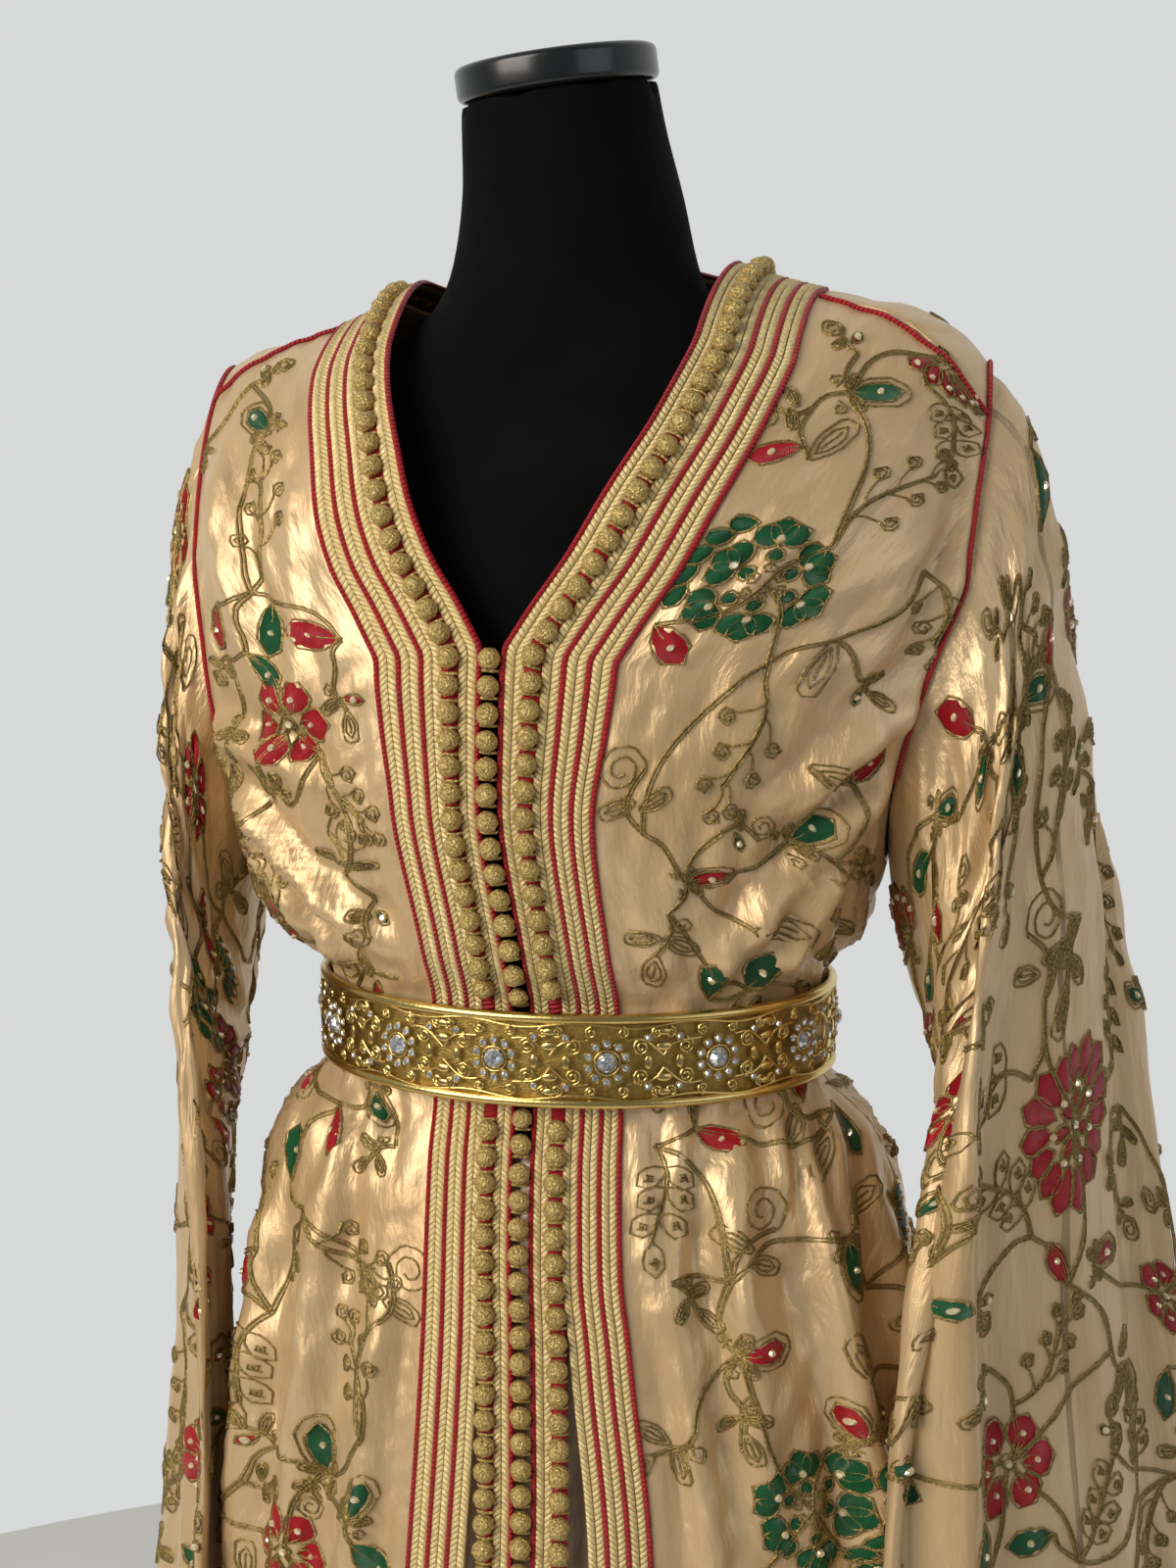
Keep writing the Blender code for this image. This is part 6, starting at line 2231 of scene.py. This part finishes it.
    def set_along(
        self, face: Panel, shape: tuple[Array, list[Array]], spots: Iterable[tuple[float, float, float, float]], lift: float
    ) -> Batch:
        """Copies a shape to places on the belt.

        Args:
            face: The belt's face.
            shape: The shape, of radius 1.
            spots: Distance round, height, and both half sizes of each copy.
            lift: How far outside the wall they start.

        Returns:
            The copies.
        """
        form, faces = shape
        batch = Batch()
        for s, z, wide, tall in spots:
            flat = np.stack([s + form[:, 0] * wide, z + form[:, 1] * tall], -1)
            batch.add(face.lay(flat, lift + form[:, 2] * min(wide, tall)), faces, flat)
        return batch

    def make(self) -> None:
        """Makes the belt."""
        self.band()
        self.rims()
        face = self.face()
        length = float(face.rows.length[1])
        pitch = length / self.stones
        middle = (BELT_LOW + BELT_HIGH) / 2
        first = (self.lead + 0.5) * pitch
        spots = [first + k * pitch for k in range(self.stones - 1)]
        radius = self.stone / 2
        large = self.set_along(face, self.gem(12, 0.28), [(s, middle, radius * 0.80, radius * 0.80) for s in spots], 0.0008)
        small = []
        for s in spots:
            for k in range(10):
                turn = TAU * (k + 0.5) / 10
                small.append((s + 0.0092 * math.cos(turn), middle + 0.0092 * math.sin(turn), 0.0018, 0.0018))
            for side in (-1, 1):
                for up in (-1, 1):
                    small.append((s + side * pitch * 0.36, middle + up * 0.0118, 0.0016, 0.0016))
        beads = self.set_along(face, self.gem(8, 0.25), small, 0.0010)
        stones = large.build("belt_crystals")
        face_out(stones)
        stones.data.polygons.foreach_set("use_smooth", np.zeros(len(stones.data.polygons), bool))
        nodes = [f"belt_stone_{k:02d}" for k in range(1, self.stones)]
        self.shop.hand_in(stones, CRYSTAL, Slot.CRYSTAL, nodes)
        little = beads.build("belt_small_crystals")
        face_out(little)
        little.data.polygons.foreach_set("use_smooth", np.zeros(len(little.data.polygons), bool))
        self.shop.hand_in(little, CRYSTAL, Slot.CRYSTAL)
        rings = [(s, middle, radius * 0.95, radius * 0.95) for s in spots]
        rings += [(s, z, r * 1.25, r * 1.25) for s, z, r, _ in small]
        collets = self.set_along(face, self.ring(16), rings, 0.0009).build("belt_collets")
        face_out(collets)
        self.shop.hand_in(collets, BELT_GOLD, Slot.GOLD)
        ovals = []
        for k in range(self.stones):
            s = (self.lead + k) * pitch
            if k == 0:
                continue
            for up in (-0.0075, 0.0075):
                ovals.append((s, middle + up, 0.0040, 0.0021))
            ovals.append((s - pitch * 0.14, middle, 0.0020, 0.0036))
            ovals.append((s + pitch * 0.14, middle, 0.0020, 0.0036))
            ovals.append((s, middle + 0.0145, 0.0034, 0.0018))
            ovals.append((s, middle - 0.0145, 0.0034, 0.0018))
        plates = self.set_along(face, self.plate(), ovals, 0.0009).build("belt_plates")
        face_out(plates)
        self.shop.hand_in(plates, BELT_GOLD, Slot.GOLD)
        self.filigree(face, pitch, middle)
        self.clasp()

    def filigree(self, face: Panel, pitch: float, middle: float) -> None:
        """Lays twisted wire in scrolls between the crystals."""
        wire = Sewing(face)
        for k in range(self.stones):
            s = (self.lead + k + 0.5) * pitch
            cell = Drawing()
            for side in (-1, 1):
                for up in (-1, 1):
                    hand = side * up
                    start = math.pi / 2 if up > 0 else -math.pi / 2
                    cell.cords.append(spiral(side * pitch * 0.30, up * 0.0070, 0.0042, 1.7, start, hand))
                    cell.cords.append(spiral(side * pitch * 0.14, up * 0.0142, 0.0030, 1.5, start, -hand))
                    cell.cords.append(spiral(side * pitch * 0.44, up * 0.0140, 0.0030, 1.5, start, hand))
                    cell.cords.append(bow((side * 0.009, up * 0.0105), (side * pitch * 0.5, up * 0.003), 0.16 * hand, 9))
            cell.cords.append(bow((-pitch / 2, 0.0175), (pitch / 2, 0.0175), 0.0, 12))
            cell.cords.append(bow((-pitch / 2, -0.0175), (pitch / 2, -0.0175), 0.0, 12))
            wire.place(cell, s, middle, 0.0)
        piece = wire.cord_mesh("belt_filigree", 0.0006, 0.0012)
        self.shop.hand_in(piece, BELT_GOLD, Slot.GOLD)

    def clasp(self) -> None:
        """Makes the plain plate of the clasp behind."""
        fresh()
        y = BELT_BACK + self.wall + 0.0021
        bpy.ops.mesh.primitive_cube_add(size=1.0, location=(0.0, y, (BELT_LOW + BELT_HIGH) / 2))
        piece = bpy.context.object
        piece.name = "belt_clasp_plate"
        piece.scale = (0.034, 0.0030, 0.036)
        bevel(piece, 0.0010)
        settle(piece)
        soften(piece)
        self.shop.hand_in(piece, BELT_GOLD, Slot.GOLD, ["belt_clasp"])


@dataclass
class DressForm:
    """The limbless form with its cap, pole and round base."""

    shop: Workshop
    nodes: dict[str, bpy.types.Object]

    def torso(self) -> None:
        """Makes the smooth body from a merged copy of the solid's mesh."""
        source = self.nodes["form_torso"]
        piece = source.copy()
        piece.data = source.data.copy()
        piece.parent = None
        piece.name = "form_body"
        bpy.context.scene.collection.objects.link(piece)
        piece.matrix_world = source.matrix_world
        fresh()
        bpy.context.view_layer.objects.active = piece
        piece.select_set(True)
        bpy.ops.object.mode_set(mode="EDIT")
        bpy.ops.mesh.select_all(action="SELECT")
        bpy.ops.mesh.remove_doubles(threshold=0.0001)
        bpy.ops.mesh.tris_convert_to_quads()
        bpy.ops.object.mode_set(mode="OBJECT")
        bpy.ops.object.shade_smooth()
        round_off = piece.modifiers.new("round", "SUBSURF")
        round_off.levels = round_off.render_levels = 2
        settle(piece)
        self.shop.hand_in(piece, JERSEY, Slot.JERSEY, ["form_torso"])

    def upright(self, name: str, radius: float, low: float, high: float, edge: float, node: str, finish: Finish) -> None:
        """Makes a round upright piece with a rounded edge."""
        fresh()
        bpy.ops.mesh.primitive_cylinder_add(vertices=96, radius=radius, depth=high - low, location=(0, 0, (low + high) / 2))
        piece = bpy.context.object
        piece.name = name
        bevel(piece, edge)
        settle(piece)
        soften(piece)
        self.shop.hand_in(piece, finish, Slot.STAND, [node])

    def cap(self) -> None:
        """Makes the neck cap: a tilted disc with a rounded top."""
        tilt, lean = math.radians(9.6), math.radians(-36.0)
        axis = Vector((math.sin(tilt) * math.sin(lean), -math.sin(tilt) * math.cos(lean), math.cos(tilt)))
        fresh()
        bpy.ops.mesh.primitive_cylinder_add(
            vertices=96,
            radius=0.0487,
            depth=0.0164,
            location=Vector((0.0, -0.0310, 1.4835)) + axis * 0.0085,
            rotation=axis.to_track_quat("Z", "Y").to_euler(),
        )
        piece = bpy.context.object
        piece.name = "form_cap"
        bevel(piece, 0.0035, 5)
        settle(piece)
        soften(piece, 30.0)
        self.shop.hand_in(piece, CAP, Slot.CAP, ["neck_cap"])

    def make(self) -> None:
        """Makes the form and its stand."""
        self.torso()
        self.cap()
        self.upright("form_pole", 0.0160, 0.0183, 0.6897, 0.0004, "stand_pole", STEEL)
        self.upright("form_base", 0.1700, 0.0, 0.0180, 0.0035, "stand_base", STEEL)


# ---------------------------------------------------------------- the studio
@dataclass
class Studio:
    """A plain pale floor, soft light from the front left and a still camera."""

    shop: Workshop

    def lamp(self, name: str, place: Sequence[float], aim: Sequence[float], size: float, power: float, tint: str) -> None:
        """Hangs one soft lamp."""
        light = bpy.data.lights.new(name, "AREA")
        light.shape, light.size, light.energy = "SQUARE", size, power
        light.color = linear(tint)[:3]
        lamp = bpy.data.objects.new(name, light)
        lamp.location = place
        lamp.rotation_euler = Vector([a - p for a, p in zip(aim, place)]).to_track_quat("-Z", "Y").to_euler()
        bpy.context.scene.collection.objects.link(lamp)

    def make(self) -> None:
        """Sets up the floor, the light and the camera."""
        fresh()
        bpy.ops.mesh.primitive_circle_add(vertices=128, radius=1.6, fill_type="NGON", location=(0.0, 0.0, 0.0))
        floor = bpy.context.object
        floor.name = "studio_floor"
        self.shop.palette.dress(floor, FLOOR)
        scene = bpy.context.scene
        world = bpy.data.worlds.new("studio_air")
        scene.world = world
        world.use_nodes = True
        air = world.node_tree.nodes["Background"]
        air.inputs["Color"].default_value = linear("E2E3E3")
        # the wall behind the object is lit, and the room in front of it is dimmer
        place = add_node(world.node_tree, "ShaderNodeTexCoord")
        parts = add_node(world.node_tree, "ShaderNodeSeparateXYZ", {}, {0: place.outputs["Generated"]})
        ramp = add_node(
            world.node_tree,
            "ShaderNodeMapRange",
            {"From Min": -0.6, "From Max": 0.8, "To Min": 0.20, "To Max": 0.90},
            {"Value": parts.outputs["Y"]},
            interpolation_type="SMOOTHSTEP",
        )
        world.node_tree.links.new(ramp.outputs["Result"], air.inputs["Strength"])
        self.lamp("window", (-1.5, -2.3, 2.2), (0.0, 0.0, 1.10), 2.0, 82.0, "FFF8EF")
        self.lamp("fill", (2.2, -1.4, 1.7), (0.0, 0.0, 1.0), 1.8, 9.0, "EEF3FF")
        scene.view_settings.view_transform = "Standard"
        turn, reach = math.radians(15.0), 1.07
        lens = bpy.data.cameras.new("camera")
        lens.sensor_fit = "VERTICAL"
        lens.angle = 2.0 * math.atan(800.0 / 2140.0)
        camera = bpy.data.objects.new("camera", lens)
        camera.location = (reach * math.sin(turn), -reach * math.cos(turn), 1.29)
        camera.rotation_euler = (math.radians(90.0 - 7.7), 0.0, turn - math.radians(0.32))
        scene.collection.objects.link(camera)
        scene.camera = camera


# ---------------------------------------------------------------- figures placed one by one
FRONT_FIGURES: dict[int, tuple[Figure, ...]] = {
    1: (
        Figure(Kind.CLUSTER, 0.037, 1.277, 0.064, 20, Tone.GREEN),
        Figure(Kind.BERRIES, 0.056, 1.300, 0.078, 52),
        Figure(Kind.LEAF, 0.004, 1.250, 0.028, -35, Tone.RED),
        Figure(Kind.BUD, 0.028, 1.378, 0.042, 25, Tone.GREEN),
        Figure(Kind.SCROLL, 0.016, 1.366, 0.036, 190),
        Figure(Kind.LEAF, 0.020, 1.345, 0.024, 210, Tone.RED),
        Figure(Kind.FAN, 0.070, 1.434, 0.050, -60, Tone.RED),
        Figure(Kind.SPRIG, 0.062, 1.402, 0.062, -55),
        Figure(Kind.BERRIES, 0.062, 1.240, 0.082, -104),
        Figure(Kind.LEAF, 0.084, 1.256, 0.030, -85),
        Figure(Kind.BERRIES, 0.108, 1.300, 0.062, -60),
        Figure(Kind.SCROLL, 0.022, 1.158, 0.052, 95),
        Figure(Kind.BUD, 0.040, 1.130, 0.036, 10, Tone.RED),
        Figure(Kind.BUD, 0.094, 1.150, 0.040, 35, Tone.GREEN),
        Figure(Kind.SPRIG, 0.112, 1.142, 0.052, -30),
        Figure(Kind.LEAF, 0.126, 1.182, 0.026, 65, Tone.RED),
        Figure(Kind.LEAVES, 0.030, 1.112, 0.050, -110),
        Figure(Kind.LEAVES, 0.112, 1.104, 0.048, -70),
        Figure(Kind.LEAF, 0.064, 1.060, 0.030, 60, Tone.GREEN),
        Figure(Kind.LEAF, 0.034, 0.992, 0.028, -25, Tone.RED),
        Figure(Kind.LEAF, 0.126, 0.990, 0.030, -70, Tone.GREEN),
        Figure(Kind.SPRIG, 0.016, 0.984, 0.062, -92),
        Figure(Kind.SCROLL, 0.050, 0.915, 0.062, 40),
        Figure(Kind.BUD, 0.050, 0.880, 0.040, 5, Tone.RED),
        Figure(Kind.BUD, 0.110, 0.928, 0.044, -80, Tone.GREEN),
        Figure(Kind.BERRIES, 0.130, 0.900, 0.070, -50),
        Figure(Kind.CLUSTER, 0.080, 0.802, 0.064, 200, Tone.GREEN),
        Figure(Kind.LEAVES, 0.026, 0.846, 0.050, -150),
    ),
    -1: (
        Figure(Kind.BERRIES, 0.055, 1.292, 0.086, 103),
        Figure(Kind.BUD, 0.026, 1.376, 0.042, 60, Tone.GREEN),
        Figure(Kind.LEAF, 0.072, 1.262, 0.028, 240, Tone.GREEN),
        Figure(Kind.BLOOM, 0.056, 1.222, 0.050, 0, Tone.RED),
        Figure(Kind.BERRIES, 0.038, 1.206, 0.056, -130),
        Figure(Kind.LEAVES, 0.120, 1.150, 0.050, 100),
        Figure(Kind.SCROLL, 0.036, 1.130, 0.060, 85),
        Figure(Kind.BLOOM, 0.104, 1.092, 0.042, 0, Tone.RED),
        Figure(Kind.BERRIES, 0.080, 1.090, 0.056, 60),
        Figure(Kind.LEAF, 0.061, 0.986, 0.028, -95, Tone.RED),
        Figure(Kind.LEAF, 0.096, 0.936, 0.030, 90, Tone.GREEN),
        Figure(Kind.BERRIES, 0.072, 0.926, 0.066, 195),
        Figure(Kind.SCROLL, 0.026, 0.880, 0.060, 100),
        Figure(Kind.BERRIES, 0.026, 0.826, 0.066, 60),
        Figure(Kind.BUD, 0.058, 0.796, 0.044, 80, Tone.GREEN),
        Figure(Kind.BLOOM, 0.078, 0.752, 0.046, 0, Tone.RED),
        Figure(Kind.SPRIG, 0.104, 0.868, 0.062, -80),
    ),
}
SLEEVE_FIGURES: dict[int, tuple[Figure, ...]] = {
    1: (
        Figure(Kind.PEONY, -0.010, -0.310, 0.068, 0, Tone.RED),
        Figure(Kind.LEAF, -0.004, -0.380, 0.026, 60, Tone.RED),
        Figure(Kind.SPRIG, 0.020, -0.352, 0.062, 48),
        Figure(Kind.SCROLL, -0.040, -0.425, 0.060, 200),
        Figure(Kind.BLOOM, 0.038, -0.455, 0.050, 0, Tone.RED),
        Figure(Kind.BERRIES, 0.034, -0.428, 0.064, 130),
        Figure(Kind.SPRIG, 0.000, -0.512, 0.062, 130),
        Figure(Kind.SCROLL, 0.010, -0.250, 0.058, 70),
        Figure(Kind.LEAVES, -0.022, -0.228, 0.050, -60),
        Figure(Kind.BERRIES, 0.012, -0.200, 0.072, 100),
        Figure(Kind.LEAF, 0.002, -0.122, 0.026, 90, Tone.RED),
        Figure(Kind.BUD, 0.026, -0.118, 0.040, 200, Tone.GREEN),
        Figure(Kind.LEAF, 0.064, -0.510, 0.034, 100, Tone.GREEN),
        Figure(Kind.BERRIES, -0.060, -0.300, 0.066, 100),
        Figure(Kind.SPRIG, -0.070, -0.500, 0.062, 80),
    ),
    -1: (),
}


def embroider(shop: Workshop, body: Body) -> None:
    """Embroiders every panel."""
    for side, label in ((-1, "left"), (1, "right")):
        panel = body.front_panel(side)
        sewing = Sewing(panel, 1.4)
        top = float(panel.climb[0]) - 0.012
        sewing.figures(scatter(panel, FRONT_FIGURES[side], 0.045, top, 11 + side), 5)
        sewing.hand_over(f"front_{label}", shop)
        panel = body.sleeve_panel(side)
        sewing = Sewing(panel, 1.4)
        bottom = float(panel.climb[-1]) + 0.012
        sewing.figures(scatter(panel, SLEEVE_FIGURES[side], bottom, -0.012, 21 + side), 6)
        sewing.hand_over(f"sleeve_{label}", shop)
    panel = body.back_panel()
    sewing = Sewing(panel, 2.3)
    sewing.figures(scatter(panel, (), 0.045, float(panel.climb[0]) - 0.02, 31), 7)
    sewing.hand_over("back", shop)


def main() -> None:
    """Builds the finished object."""
    logging.basicConfig(level=logging.INFO, format="%(message)s", stream=sys.stdout)
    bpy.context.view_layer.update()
    shop = Workshop()
    body = Body()
    body.shape()
    Cloth(shop, body).make()
    Trimmings(shop, body).make()
    embroider(shop, body)
    Belt(shop).make()
    DressForm(shop, frame["nodes"]).make()
    Studio(shop).make()


if __name__ == "__main__":
    main()
